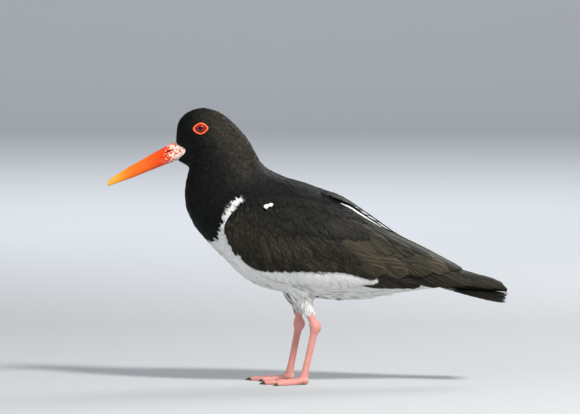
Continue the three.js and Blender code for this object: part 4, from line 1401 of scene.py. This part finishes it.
# Rows of large feathers on the wing. The tips are pixels of the photograph. The length and the
# width change from a row's first feather to its last. A feather starts at the height "base" over
# its bed, its tip stands "rise" higher, "tilt" raises one edge over the other, and "sink" hides
# its root. "ragged" is the length of the spikes along its edge. What most rows share is in
# PLAIN_ROW.
PLAIN_ROW = {"profile": COVERT_PROFILE, "white": no_white, "tilt": 0.0, "sink": 0.0}
WING_ROWS = [
    {"name": "primaries", "tips": [(441, 285.5), (455, 285.3), (470, 284.5), (482, 284.6),
                                   (493, 286), (502, 288), (507.3, 290)],
     "count": 7, "length": (70, 80), "width": (9, 9.5), "base": -0.9, "rise": 0.7, "tilt": -0.05,
     "profile": QUILL_PROFILE, "brown": soft_brown(0.35, 0.2)},
    {"name": "secondaries", "tips": [(372, 280.5), (395, 284.3), (420, 285)],
     "count": 6, "length": (40, 52), "width": (13, 12), "base": -0.6, "rise": 0.9, "tilt": -0.06,
     "profile": QUILL_PROFILE, "brown": soft_brown(0.45, 0.25), "ragged": 0.7},
    {"name": "greater_coverts", "tips": [(262, 271.5), (280, 278.5), (300, 281.8), (322, 282),
                                         (345, 286), (362, 281.5), (377, 279.5)],
     "count": 17, "length": (24, 30), "width": (11, 11), "base": -0.5, "rise": 1.0, "tilt": -0.09,
     "brown": soft_brown(0.3), "white": bar_white, "ragged": 1.8},
    {"name": "median_coverts", "tips": [(249, 262), (262, 267.5), (290, 268), (320, 267.5),
                                        (350, 269), (376, 275)],
     "count": 18, "length": (22, 30), "width": (8, 9.5), "base": -0.1, "rise": 0.9,
     "tilt": -0.045, "brown": soft_brown(0.46, 0.12), "ragged": 2.6},
    {"name": "lesser_coverts", "tips": [(240, 246), (255, 257), (285, 257), (318, 256),
                                        (348, 258), (372, 264)],
     "count": 17, "length": (20, 28), "width": (7, 9), "base": 0.1, "rise": 0.8, "tilt": -0.04,
     "brown": soft_brown(0.42, 0.1), "ragged": 2.6},
    {"name": "tertials", "tips": [(386, 270), (408, 272), (430, 272.5), (447, 272),
                                  (460, 271.5)],
     "count": 5, "length": (52, 78), "width": (16, 15), "base": 0.3, "rise": 1.1, "tilt": -0.05,
     "profile": QUILL_PROFILE, "brown": soft_brown(0.6, 0.5), "ragged": 0.8},
    {"name": "upper_tertials", "tips": [(392, 253), (412, 256), (430, 260)],
     "count": 3, "length": (50, 66), "width": (15, 13), "base": 0.6, "rise": 1.0, "tilt": -0.04,
     "profile": QUILL_PROFILE, "brown": soft_brown(0.4, 0.4), "ragged": 1.0},
    {"name": "rear_scapulars", "tips": [(338, 236), (356, 238), (374, 241), (394, 247)],
     "count": 10, "length": (26, 42), "width": (8, 10), "base": 0.4, "rise": 0.8, "tilt": -0.03,
     "brown": soft_brown(0.2, 0.45), "ragged": 2.2, "sink": 2.5},
    {"name": "back_scapulars", "tips": [(340, 199.5), (353, 206), (367, 214.5), (382, 225),
                                        (398, 236)],
     "count": 8, "length": (20, 30), "width": (6, 7.5), "base": 0.4, "rise": 0.7,
     "brown": soft_brown(0.14, 0.6), "ragged": 1.8, "sink": 3.0},
    {"name": "fleck", "tips": [(266, 206.8), (270, 205)],
     "count": 2, "length": (3.6, 3.0), "width": (4.4, 4.2), "base": 1.8, "rise": 0.4,
     "profile": LEAF_PROFILE, "brown": soft_brown(0.0), "white": all_white, "ragged": 1.2},
    {"name": "back_line", "tips": [(379, 228.5), (366, 219.5)],
     "count": 2, "length": (42, 27), "width": (1.5, 2.0), "base": 1.7, "rise": 0.3,
     "profile": LEAF_PROFILE, "brown": soft_brown(0.0), "white": all_white, "ragged": 0.8,
     "sink": 1.5},
]


LESSER_AREA = outline((200, 240), (215, 180), (300, 170), (345, 190), (385, 215), (408, 236),
                      (396, 246), (360, 247), (330, 250), (300, 256), (262, 257), (240, 248))
BED_ROWS = 90
BED_COLUMNS = 40
# How far the bed's top lies under its feathers, and how thick it is at least
BED_DEPTH = 1.2
BED_THINNEST = 0.3
BED_GAP = 0.3
# Between which shares of its breadth the bed has a coat, and how brown it is at its upper
# edge and how much browner at its lower one
BED_COAT_SHARES = (0.03, 0.985)
BED_BROWN = (0.10, 0.42)
WING_COAT_STATIONS = [1.1, 1.6, 3.0, 6.0]
WING_COAT_LENGTHS = [5.5, 7.5, 11.5, 13.0]


def make_wing_bed(side):
    """The wing's body under its feathers, closed, with what its coat needs kept on it."""
    rows, columns = BED_ROWS, BED_COLUMNS
    at = np.linspace(WING[0, 0], WING[-1, 0], rows)[:, None]
    share = np.linspace(0, 1, columns)[None]
    top, low = wing_edges(at)
    degrees = top + share * (low - top)
    at = np.broadcast_to(at, degrees.shape)
    swell = wing_swell(at, degrees)
    upper = wing_bed.point(at, degrees, swell - BED_DEPTH)
    depth = np.interp(at, WING[:, 0], WING[:, 3])
    lowest = np.minimum(-depth + BED_GAP, swell - (BED_DEPTH + BED_THINNEST))
    under = wing_bed.point(at, degrees, lowest)
    way, _, _ = wing_flow(at, degrees)
    points = np.vstack([upper.reshape(-1, 3), under.reshape(-1, 3)])
    flow = np.vstack([way.reshape(-1, 3)] * 2)
    for vectors in (points, flow):
        vectors[:, 1] *= -side
    at = np.tile(at.ravel(), 2)
    share = np.tile(np.broadcast_to(share, degrees.shape).ravel(), 2)
    on_top = np.arange(len(points)) < rows * columns
    flat = side_view(points)
    first, last = BED_COAT_SHARES
    covered = on_top * (share > first) * (share < last)
    covered = covered * smoothstep(0.0, 0.2, at - WING_COAT_STATIONS[0])
    bed = build(f"wing_{SIDE_NAMES[side]}_bed", points, vane_faces(rows, columns), {
        "flow": flow,
        "white": smoothstep(0.5, 1.5, depth_inside(flat, BAR_TOP)),
        "coat_white": np.zeros(len(points)),
        "coat_length": np.interp(at, WING_COAT_STATIONS, WING_COAT_LENGTHS) * MM,
        "brown": BED_BROWN[0] + BED_BROWN[1] * smoothstep(0.25, 0.7, share),
        "tone": np.full(len(points), PLAIN_TONE),
        "on_wing": covered * (depth_inside(flat, LESSER_AREA) > 0),
    })
    face_outwards(bed)
    return bed


FIRST_WING_SEED = {LEFT: 100, RIGHT: 500}
WING_COAT = {"Where": "on_wing", "Spacing": 0.0017, "Lift": 0.09, "Unruliness": 0.28,
             "Width share": 0.36}
# How much higher the last feather of a row lies than the first
ROW_CLIMB = 0.06


def make_wing(side, tree, kinds):
    name = SIDE_NAMES[side]
    vanes = Vanes()
    seed = FIRST_WING_SEED[side]
    for entry in WING_ROWS:
        row = {**PLAIN_ROW, **entry}
        count = row["count"]
        stops = np.linspace(0, len(row["tips"]) - 1, count)
        tips = spline(side_places(outline(*row["tips"])), stops)
        for i in range(count):
            share = i / (count - 1)
            unevenness = np.random.default_rng(seed).uniform(0.96, 1.04)
            length = np.interp(share, [0, 1], row["length"]) * unevenness
            width = np.interp(share, [0, 1], row["width"])
            base = row["base"] + ROW_CLIMB * i / count
            wing_vane(vanes, tips[i], length, width, base, side, seed, row)
            seed += 1
    put(vanes.piece(f"wing_{name}_feathers"), "wing_plumage", PLUMAGE)
    bed = make_wing_bed(side)
    coat = grow_coat(f"wing_{name}_coverts", bed, tree, kinds, wing_spread, Seed=seed,
                     **WING_COAT)
    put(coat, "wing_plumage", PLUMAGE)
    put(bed, "wing_plumage", UNDER_PLUMAGE, [f"wing_{name}"])


# The tail

# The line of the tail's middle in side view, from its root to its end
TAIL_LINE = np.array([[106, 92.0], [130, 86.6], [155, 82.6], [181, 79.2]])
TAIL_ROOT_X = 106
TAIL_REACH = 75
TAIL_HALF = 21
TAIL_DROOP = (2, 3)

# Tail feathers: pairs from the middle outwards, each lower, further out and shorter than the last
TAIL_PAIRS = 6
TAIL_STEPS = 22
TAIL_FEATHER_X = (112, 180.2)
TAIL_FEATHER_WIDTH = 12.4
TAIL_SHORTER = 0.5
TAIL_ROOT_Y = (1.2, 1.1)
TAIL_TIP_Y = (2.6, 3.1)
TAIL_HEIGHT = (1.6, 0.6)
TAIL_RIGHT_LOWER = 0.08
TAIL_CAMBER = 0.02
TAIL_TIP_BEND = 0.5
TAIL_WHITE_END = (133, 128)
FIRST_TAIL_SEED = 900


def tail_point(x, y):
    share = np.clip((x - TAIL_ROOT_X) / TAIL_REACH, 0, 1)
    drop = (TAIL_DROOP[0] + TAIL_DROOP[1] * share) * (y / TAIL_HALF) ** 2
    return np.stack([x, y, spline(TAIL_LINE, share * 3)[..., 1] - drop], axis=-1)


def tail_vane(vanes, pair, side):
    draw = np.random.default_rng(FIRST_TAIL_SEED + 2 * pair + (side > 0))
    t = np.linspace(0, 1, TAIL_STEPS)[:, None]
    u = np.linspace(-1, 1, VANE_COLUMNS)
    first, last = TAIL_FEATHER_X
    x = first + (last - TAIL_SHORTER * pair - first) * t
    root, tip = (y0 + step * pair for y0, step in (TAIL_ROOT_Y, TAIL_TIP_Y))
    half = half_widths(QUILL_PROFILE, TAIL_FEATHER_WIDTH, t)
    offset = u[None] * half
    across = side * (root + (tip - root) * t) + offset * worn(draw, u, TAIL_WEAR, TAIL_STEPS)
    sweep = np.abs(u)[None] ** SWEEP_POWER * half * TAIL_SWEEP
    upper = tail_point(x - sweep, across)
    upper[..., 2] += (TAIL_HEIGHT[0] - TAIL_HEIGHT[1] * pair - TAIL_RIGHT_LOWER * (side > 0)
                      - TAIL_CAMBER * offset ** 2 / 6 + shaft_height(u))
    upper[..., 2] -= TAIL_TIP_BEND * smoothstep(0.85, 1.0, t) * (pair % 2)
    under = upper - np.array([0, 0, VANE_THICKNESS])
    edge = smoothstep(0.8, 1, np.abs(u))[None] * np.ones_like(t)
    vanes.add(upper, under, vane_places(u, t[:, 0]), brown=0.12 + 0.2 * edge,
              white=smoothstep(*TAIL_WHITE_END, upper[..., 0] - 1.5 * np.sin(across * 0.9)),
              tone=draw.uniform(0, 0.6))


def make_tail():
    vanes = Vanes()
    for pair in range(TAIL_PAIRS):
        for side in (LEFT, RIGHT):
            tail_vane(vanes, pair, side)
    put(vanes.piece("tail_feathers"), "tail_plumage", PLUMAGE, ["tail"])


# Bill

BILL_RINGS = 200
BILL_SIDES = 56
MOUTH_HALVINGS = 20
HALF_GAP = 0.14
LIP_SHARPNESS = 12
LIP_OUT = 0.93
LIP_DEPTH = 0.25
TONGUE_DEPTH = 0.6
NOSTRIL = np.array([-125.0, 208.6])
NOSTRIL_SLOPE = math.radians(24)
SLIT_DEPTH = 1.7
SLIT_HALF = (4.2, 0.65)
GROOVE_DEPTH = 0.42
GROOVE_HALF = (19, 1.7)
GROOVE_AHEAD = 8


def mouth_height(x):
    at = np.interp(x, MOUTH[:, 0], np.arange(len(MOUTH)))
    return spline(MOUTH, at)[..., 1]


def mouth_angle(at):
    """The angle from the ridge at which the mouth line crosses the bill's section."""
    row = spline(BILL, at)
    low, high = np.zeros(len(at)), np.ones(len(at))
    for _ in range(MOUTH_HALVINGS):
        share = (low + high) / 2
        spot = row[:, :2] + (row[:, 2:4] - row[:, :2]) * share[:, None]
        above = spot[:, 1] > mouth_height(spot[:, 0])
        low, high = np.where(above, share, low), np.where(above, high, share)
    return np.degrees(np.arccos(signed_power(1 - 2 * np.clip(low, 0.02, 0.98), 1 / ROUNDNESS)))


def carve_nostril(points):
    """Sinks a groove and the nostril's slit in both sides, and says how deep in the slit it is."""
    offset = side_view(points) - NOSTRIL
    cosine, sine = math.cos(NOSTRIL_SLOPE), math.sin(NOSTRIL_SLOPE)
    along = offset[..., 0] * cosine + offset[..., 1] * sine
    up = offset[..., 1] * cosine - offset[..., 0] * sine
    slit = np.exp(-(along / SLIT_HALF[0]) ** 4 - (up / SLIT_HALF[1]) ** 2)
    groove = np.exp(-((along + GROOVE_AHEAD) / GROOVE_HALF[0]) ** 4
                    - (up / GROOVE_HALF[1]) ** 2)
    points[..., 1] -= np.sign(points[..., 1]) * (SLIT_DEPTH * slit + GROOVE_DEPTH * groove)
    return points, slit


def bill_rings(at, first, last, way):
    """Rings of one half of the bill, between two angles, with its lips tucked in."""
    share = np.linspace(0, 1, BILL_SIDES)[None]
    degrees = first[:, None] + share * (last - first)[:, None]
    outer = bill_loft.point(at[:, None], degrees)
    outer[..., 2] += way * HALF_GAP * np.abs(2 * share - 1) ** LIP_SHARPNESS
    middle = outer[:, [0, -1]].mean(axis=1, keepdims=True)
    lips = outer[:, [-1, 0]] * LIP_OUT + middle * (1 - LIP_OUT)
    lips[..., 2] += way * LIP_DEPTH
    tongue = middle + np.array([0, 0, way * TONGUE_DEPTH])
    return np.concatenate([outer, lips[:, :1], tongue, lips[:, 1:]], axis=1)


def make_bill():
    at = np.linspace(0, bill_loft.last, BILL_RINGS)
    edge = mouth_angle(at)
    halves = {"bill_upper": (-edge, edge, 1), "bill_lower": (edge, 360 - edge, -1)}
    for name, (first, last, way) in halves.items():
        rings = bill_rings(at, first, last, way)
        # The inside value marks where shade is painted: lips and tongue, and the nostril's slit
        inner = np.zeros(rings.shape[:2])
        inner[:, BILL_SIDES:] = 1
        if name == "bill_upper":
            rings, slit = carve_nostril(rings)
            inner = np.maximum(inner, slit)
        inside = np.concatenate([inner.ravel(), [0, 0]])
        half = build(name + "_horn", *capped_tube(rings), {"inside": inside})
        face_outwards(half)
        put(half, "bill", BILL_FINISH, [name])


# Eyes and lids

EYE_RINGS = 64
EYE_COLUMNS = 96
CORNEA_RISE = 0.35
CORNEA_ANGLE = 0.62


def make_eye(side):
    """A ball that bulges a little in front."""
    tilt = np.linspace(0, np.pi, EYE_RINGS)[:, None]
    turn = np.linspace(0, 2 * np.pi, EYE_COLUMNS, endpoint=False)[None]
    radius = EYE_RADIUS - CORNEA_RISE + CORNEA_RISE * np.exp(-(tilt / CORNEA_ANGLE) ** 4)
    x = radius * np.sin(tilt) * np.cos(turn)
    y = radius * np.cos(tilt) + 0 * turn
    z = radius * np.sin(tilt) * np.sin(turn)
    rings = np.stack([EYE[0] + x, side * (EYE[1] + y), EYE[2] + z], axis=-1)[1:-1]
    name = f"eye_{SIDE_NAMES[side]}"
    ball = build(name + "_ball", *capped_tube(rings))
    face_outwards(ball)
    put(ball, "eye", EYE_FINISH, [name])


LID_SECTIONS = 160
LID_COLUMNS = 20
LID_HALF_WIDTH = 5.75
LID_HALF_HEIGHT = 4.65
LID_SLANT = 0.3
LID_CORNER_REACH = 0.05
LID_CORNER_PINCH = 0.2
LID_THICKNESS = 0.62
LID_CORNER_THICKNESS = 0.25
LID_STRETCH = 1.12
LID_RISE = 0.35
LID_GAP = 0.1
# The notches of its edge: depth, number and start
LID_NOTCHES = [(0.05, 23, 0), (0.04, 41, 1)]


def make_lid(side):
    """A ring of bare skin round the eye, almond shaped, on the ball and the skin of the face."""
    phi = np.linspace(0, 2 * np.pi, LID_SECTIONS, endpoint=False)[:, None]
    psi = np.linspace(0, 2 * np.pi, LID_COLUMNS, endpoint=False)[None]
    to_corner = np.abs(np.cos(phi))
    wide = LID_HALF_WIDTH * np.cos(phi) * (1 + LID_CORNER_REACH * to_corner ** 8)
    tall = (LID_HALF_HEIGHT * np.sin(phi) * (1 - LID_CORNER_PINCH * to_corner ** 1.5)
            + LID_SLANT * np.cos(phi))
    middle = np.stack([wide, tall], -1)
    notches = sum(depth * np.sin(phi * count + shift) for depth, count, shift in LID_NOTCHES)
    thick = LID_THICKNESS + LID_CORNER_THICKNESS * to_corner ** 4 + notches
    flat = middle + unit(middle) * (thick * LID_STRETCH * np.cos(psi))[..., None]

    from_axis = np.minimum(np.linalg.norm(flat, axis=-1), EYE_RADIUS - 0.2)
    on_ball = np.sqrt(np.maximum((EYE_RADIUS + LID_GAP) ** 2 - from_axis ** 2, 0))
    x, z = EYE[0] + wide[:, 0], EYE[2] + tall[:, 0]
    at, degrees = body.place(x, np.full(LID_SECTIONS, -1.0), z)
    on_face = -narrow_lores(body.point(at, degrees, -LID_GAP))[:, 1] - EYE[1]
    seat = np.maximum(on_ball, on_face[:, None])
    height = seat + LID_RISE + LID_THICKNESS * thick * np.sin(psi)
    ring = np.stack([EYE[0] + flat[..., 0], side * (EYE[1] + height), EYE[2] + flat[..., 1]], -1)

    faces = grid_faces(LID_SECTIONS, LID_COLUMNS)
    wrap = grid_faces(2, LID_COLUMNS)
    wrap[:, [0, 3]] += (LID_SECTIONS - 1) * LID_COLUMNS
    wrap[:, [1, 2]] -= LID_COLUMNS
    name = f"eyelid_{SIDE_NAMES[side]}"
    lid = build(name + "_ring", ring.reshape(-1, 3), np.vstack([faces, wrap]))
    face_outwards(lid)
    put(lid, "eyelid", LID_FINISH, [name])


# Legs

# The knee, the heel and the foot as [x, distance from the middle, z], and the middle toe's turn
LEGS = {
    LEFT: {"knee": [0.4, 20.6, 66.5], "heel": [7.0, 21.6, 51.4], "foot": [-3.4, 22.6, 5.6],
           "heading": 4},
    RIGHT: {"knee": [-8.4, 20.6, 66.5], "heel": [-7.4, 21.6, 51.8], "foot": [-16.4, 22.6, 5.6],
            "heading": -5},
}
# Each toe's name, turn from the middle one, length and length of claw
TOES = [("inner", -31, 26.0, 5.2), ("middle", 0, 34.0, 6.4), ("outer", 33, 29.0, 5.4)]
TOE_STOPS = (0.4, 0.55, 0.7, 0.85, 1.0)
TOE_JOINTS = (0.55, 0.85)
TOE_JOINT_SWELL = 0.28
TOE_ROOT_RADIUS = 2.7
TOE_TIP_RADIUS = 1.75
TOE_ROOT_HEIGHT = 4.4
# A toe's middle lies lower than its radius, so that its sole is flat on the floor
TOE_REST = 0.78
FORWARD = np.array([-1.0, 0.0, 0.1])
UP = np.array([0.0, 0.0, 1.0])
LEG_VOXEL = 0.34


def scuted(rings, length, spacing, raised, dorsal):
    """Raises overlapping plates across one side of a limb's rings."""
    centre = rings.mean(axis=1, keepdims=True)
    outward = unit(rings - centre)
    along = np.linspace(0, length, rings.shape[0])[:, None]
    front = smoothstep(0.1, 0.75, (outward * dorsal).sum(-1))
    step = (along / spacing) % 1.0
    plate = step ** 0.6 * smoothstep(1.0, 0.86, step)
    return rings + outward * (raised * plate * front)[..., None]


def path_of(*stops):
    """Rows of [x, y, z, radius] from places and radii."""
    return np.array([[*place, radius] for place, radius in stops])


def shank_and_tarsus(knee, heel, foot):
    """The closed shapes of a leg from knee to foot, scuted in front."""
    down, on = unit(heel - knee), unit(foot - heel)
    shank = path_of((knee - down * 6, 2.9), (knee, 3.1), (knee + (heel - knee) * 0.55, 3.2),
                    (heel, 3.9))
    knob = path_of((heel - down * 7, 2.4), (heel - down * 4, 4.3), (heel, 5.25),
                   (heel + on * 4, 4.2), (heel + on * 8, 2.6))
    tarsus = path_of(*((heel + (foot - heel) * share, radius) for share, radius in
                       ((0, 3.7), (0.2, 3.1), (0.55, 2.9), (0.85, 3.2), (1, 4.0))))
    shank_rings = limb_rings(shank, 60, 40, 0.9)
    tarsus_rings = limb_rings(tarsus, 220, 44, 0.82)
    return [
        capped_tube(scuted(shank_rings, length=22, spacing=2.2, raised=0.22, dorsal=FORWARD)),
        capped_tube(limb_rings(knob, 44, 36, 0.8)),
        capped_tube(scuted(tarsus_rings, length=49, spacing=2.3, raised=0.26, dorsal=FORWARD)),
    ]


def make_pad(foot):
    """The ball of the foot."""
    x, y, _ = foot
    path = np.array([[x + 4.4, y, 3.4, 1.6], [x + 2.4, y, 3.5, 3.3], [x - 1.5, y, 3.3, 3.35],
                     [x - 6, y, 2.6, 2.6]])
    return capped_tube(limb_rings(path, 30, 30, 1.35))


def make_toe(start, way, length):
    """One toe from under the leg to its claw, thicker at its joints, scuted on top."""
    x, y, _ = start + way * 6
    rows = [[*start, 3.2], [x, y, 2.9, TOE_ROOT_RADIUS]]
    for share in TOE_STOPS:
        radius = TOE_ROOT_RADIUS + (TOE_TIP_RADIUS - TOE_ROOT_RADIUS) * share
        if share in TOE_JOINTS:
            radius += TOE_JOINT_SWELL
        x, y, _ = start + way * length * share
        rows.append([x, y, TOE_REST * radius, radius])
    x, y, _ = start + way * (length + 0.9)
    rows.append([x, y, 1.15, 1.0])
    rings = limb_rings(np.array(rows), 130, 34)
    return capped_tube(scuted(rings, length=length, spacing=1.75, raised=0.24, dorsal=UP))


WEB_ROWS = 14
WEB_COLUMNS = 12
WEB_START = 0.5
WEB_REACH = 12.5
WEB_HOLLOW = 0.22
WEB_HEIGHT = 1.75
WEB_HALF_THICKNESS = 0.55


def make_web(first, second, foot):
    """The short skin between two toes, its free edge drawn in."""
    reach = np.linspace(WEB_START, WEB_REACH, WEB_ROWS)[:, None]
    share = np.linspace(0, 1, WEB_COLUMNS)[None]
    hollow = 1 - WEB_HOLLOW * np.sin(np.pi * share) * (reach / WEB_REACH) ** 3
    way = unit(first * (1 - share)[..., None] + second * share[..., None])
    sheet = way * (reach * hollow)[..., None] + [foot[0], foot[1], WEB_HEIGHT]
    sides = [sheet + way_out * UP * WEB_HALF_THICKNESS for way_out in (1, -1)]
    points = np.vstack([side.reshape(-1, 3) for side in sides])
    return points, vane_faces(WEB_ROWS, WEB_COLUMNS).tolist()


CLAW_STOPS = 9
CLAW_RINGS = 44
CLAW_COLUMNS = 24
CLAW_FLATNESS = 0.85
CLAW_LOWEST = 0.05
CLAW_HEIGHT = 1.25
CLAW_ARCH = 0.55
CLAW_FALL = 0.75
CLAW_RADIUS = 1.38
CLAW_TIP_RADIUS = 0.12
CLAW_TAPER = 1.6


def make_claw(toe, side, start, way, length, claw_length):
    """A claw that arches over the end of its toe and tapers to a blunt point."""
    rows = []
    for share in np.linspace(-0.25, 1, CLAW_STOPS):
        x, y, _ = start + way * (length + claw_length * share)
        arch = CLAW_ARCH * math.sin(math.pi * max(share, 0))
        height = CLAW_HEIGHT + arch - CLAW_FALL * share
        radius = CLAW_RADIUS * (1 - max(share, 0) ** CLAW_TAPER) + CLAW_TIP_RADIUS
        rows.append([x, y, height, radius])
    rings = limb_rings(np.array(rows), CLAW_RINGS, CLAW_COLUMNS, CLAW_FLATNESS)
    rings[..., 2] = np.maximum(rings[..., 2], CLAW_LOWEST)
    name = f"claw_{SIDE_NAMES[side]}_{toe}"
    claw = build(name + "_horn", *capped_tube(rings))
    face_outwards(claw)
    put(claw, "claw", CLAW_FINISH, [name])


def make_leg(side):
    name = SIDE_NAMES[side]
    leg = LEGS[side]
    knee, heel, foot = (leg[key] * np.array([1.0, side, 1.0]) for key in ("knee", "heel", "foot"))
    pieces = [*shank_and_tarsus(knee, heel, foot), make_pad(foot)]
    start = np.array([foot[0], foot[1], TOE_ROOT_HEIGHT])
    ways = {}
    for toe, turn, length, claw_length in TOES:
        heading = math.radians(180 + leg["heading"] - turn * side)
        way = np.array([math.cos(heading), math.sin(heading), 0.0])
        ways[toe] = way
        pieces.append(make_toe(start, way, length))
        make_claw(toe, side, start, way, length, claw_length)
    pieces.append(make_web(ways["middle"], ways["outer"], foot))
    source = build(f"leg_{name}_skin", *joined(pieces))
    face_outwards(source)
    skin = remeshed(source, LEG_VOXEL, 1)
    points = mesh_points(skin)
    points[:, 2] = np.maximum(points[:, 2], 0.0)
    set_mesh_points(skin, points)
    skin.data.shade_smooth()
    put(skin, "leg_skin", LEG_FINISH, [f"shank_{name}", f"tarsus_{name}", f"foot_{name}"])


# The whole bird

BILL_FINISH = bill_finish()
EYE_FINISH = eye_finish()
LID_FINISH = lid_finish()
LEG_FINISH = leg_finish()
CLAW_FINISH = claw_finish()

skin = make_skin()
mark_skin(skin)
feathers_tree = coat_tree()
soft_kinds = feather_kinds(RAGGED)
COATS = [
    {"name": "coat_head", "Where": "on_head", "Spacing": 0.0009, "Lift": 0.14, "Seed": 3,
     "Unruliness": 0.3, "Width share": 0.36, "slot": "black_plumage"},
    {"name": "coat_neck", "Where": "on_neck", "Spacing": 0.00132, "Lift": 0.13, "Seed": 5,
     "Unruliness": 0.3, "Width share": 0.36, "slot": "black_plumage"},
    {"name": "coat_torso", "Where": "on_torso", "Spacing": 0.0019, "Lift": 0.075, "Seed": 8,
     "Unruliness": 0.22, "Width share": 0.5, "slot": "white_plumage"},
    {"name": "coat_thighs", "Where": "on_thigh", "Spacing": 0.0012, "Lift": 0.13, "Seed": 9,
     "Unruliness": 0.4, "Width share": 0.34, "slot": "white_plumage"},
    {"name": "coat_fluff", "Where": "on_fluff", "Spacing": 0.0036, "Lift": 0.12, "Seed": 12,
     "Unruliness": 0.6, "Width share": 0.3, "slot": "white_plumage"},
]
for entry in COATS:
    given = {key: value for key, value in entry.items() if key not in ("name", "slot")}
    spread = thigh_spread if entry["name"] == "coat_thighs" else body_spread
    coat = grow_coat(entry["name"], skin, feathers_tree, soft_kinds, spread, **given)
    put(coat, entry["slot"], PLUMAGE)
for wing_side in (LEFT, RIGHT):
    make_wing(wing_side, feathers_tree, soft_kinds)
put(skin, "white_plumage", UNDER_PLUMAGE, ["head", "neck", "torso", "thigh_left", "thigh_right"])
make_tail()
make_bill()
for bird_side in (LEFT, RIGHT):
    make_eye(bird_side)
    make_lid(bird_side)
    make_leg(bird_side)


# Floor, light and camera

FLOOR_FRONT = -14.0
FLOOR_HALF_WIDTH = 12.0
WALL_BEND = 7.5
WALL_RADIUS = 2.5
WALL_HEIGHT = 9.0
BEND_STEPS = 12
BIRD_MIDDLE = (0, 0, 0.15)
LIGHTS = [
    {"name": "key", "place": (1.1, -1.5, 1.9), "size": 0.5, "power": 80,
     "tint": (1.0, 0.97, 0.92)},
    {"name": "fill", "place": (-1.8, -1.6, 0.9), "size": 1.6, "power": 15,
     "tint": (0.94, 0.96, 1.0), "mirrored": False},
    {"name": "backdrop", "place": (0, 2.5, 3.5), "aim": (0, 8.5, 0.6), "size": 3.0, "power": 260,
     "tint": (0.95, 0.97, 1.0), "mirrored": False},
    {"name": "rim", "place": (1.0, 1.5, 1.4), "size": 1.0, "power": 22},
]
SKY = (0.88, 0.93, 1.0, 1)
SKY_STRENGTH = 0.42
PICTURE_WIDTH = 580
PICTURE_MIDDLE = (290, 207)
SENSOR_WIDTH = 36
VIEW_DISTANCE = 5.0
VIEW_HEIGHT_DEGREES = 2.5
VIEW_END = 50


def make_floor():
    """A pale sweep: a floor that curves up into a wall behind."""
    profile = [(FLOOR_FRONT, 0.0), (WALL_BEND, 0.0)]
    for step in range(1, BEND_STEPS + 1):
        angle = math.radians(90 * step / BEND_STEPS)
        profile.append((WALL_BEND + WALL_RADIUS * math.sin(angle),
                        WALL_RADIUS - WALL_RADIUS * math.cos(angle)))
    profile.append((WALL_BEND + WALL_RADIUS, WALL_HEIGHT))
    edges = (-FLOOR_HALF_WIDTH, FLOOR_HALF_WIDTH)
    points = np.array([[x, y, z] for y, z in profile for x in edges]) / MM
    faces = grid_faces(len(profile), len(edges), closed=False)[:, ::-1]
    sweep = build("floor_sweep", points, faces)
    finish = Finish("floor_paper", Roughness=0.9)
    fine = finish.noise(finish.place(), 40.0)
    paper = finish.mix(fine * 0.2, colour(0.47, 0.485, 0.50), colour(0.44, 0.455, 0.47))
    finish.feed(Base_Color=paper)
    sweep.data.materials.append(finish.material)
    sweep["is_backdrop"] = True


def aimed(thing, place, target):
    """Puts a light or a camera at a place and turns it to a target."""
    place, target = Vector(place), Vector(target)
    thing.location = place
    thing.rotation_euler = (target - place).to_track_quat("-Z", "Y").to_euler()


def add_light(name, place, size, power, tint=(1, 1, 1), aim=BIRD_MIDDLE, mirrored=True):
    data = bpy.data.lights.new(name, "AREA")
    data.shape = "DISK"
    data.size = size
    data.energy = power
    data.color = tint
    light = in_scene(name, data)
    aimed(light, place, aim)
    light.visible_glossy = mirrored


def light_sky():
    world = bpy.data.worlds.new("studio")
    world.use_nodes = True
    background = world.node_tree.nodes["Background"]
    background.inputs["Color"].default_value = SKY
    background.inputs["Strength"].default_value = SKY_STRENGTH
    bpy.context.scene.world = world


def add_camera():
    """The photograph's view: from the left, a little above the bird, from far off."""
    x, z = photo(*PICTURE_MIDDLE) * MM
    target = Vector((x + SHIFT_X * MM, 0, z))
    data = bpy.data.cameras.new("camera")
    data.sensor_width = SENSOR_WIDTH
    data.lens = SENSOR_WIDTH * VIEW_DISTANCE / (PICTURE_WIDTH * PIXEL * MM)
    data.clip_end = VIEW_END
    rise = math.radians(VIEW_HEIGHT_DEGREES)
    camera = in_scene("camera", data)
    aimed(camera, target + VIEW_DISTANCE * Vector((0, -math.cos(rise), math.sin(rise))), target)
    bpy.context.scene.camera = camera


make_floor()
for light in LIGHTS:
    add_light(**light)
light_sky()
bpy.context.scene.view_settings.view_transform = "Standard"
add_camera()

boxes = {"cad": cad_box, "visual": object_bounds()}
{key: [[float(v) for v in corner] for corner in box] for key, box in boxes.items()}
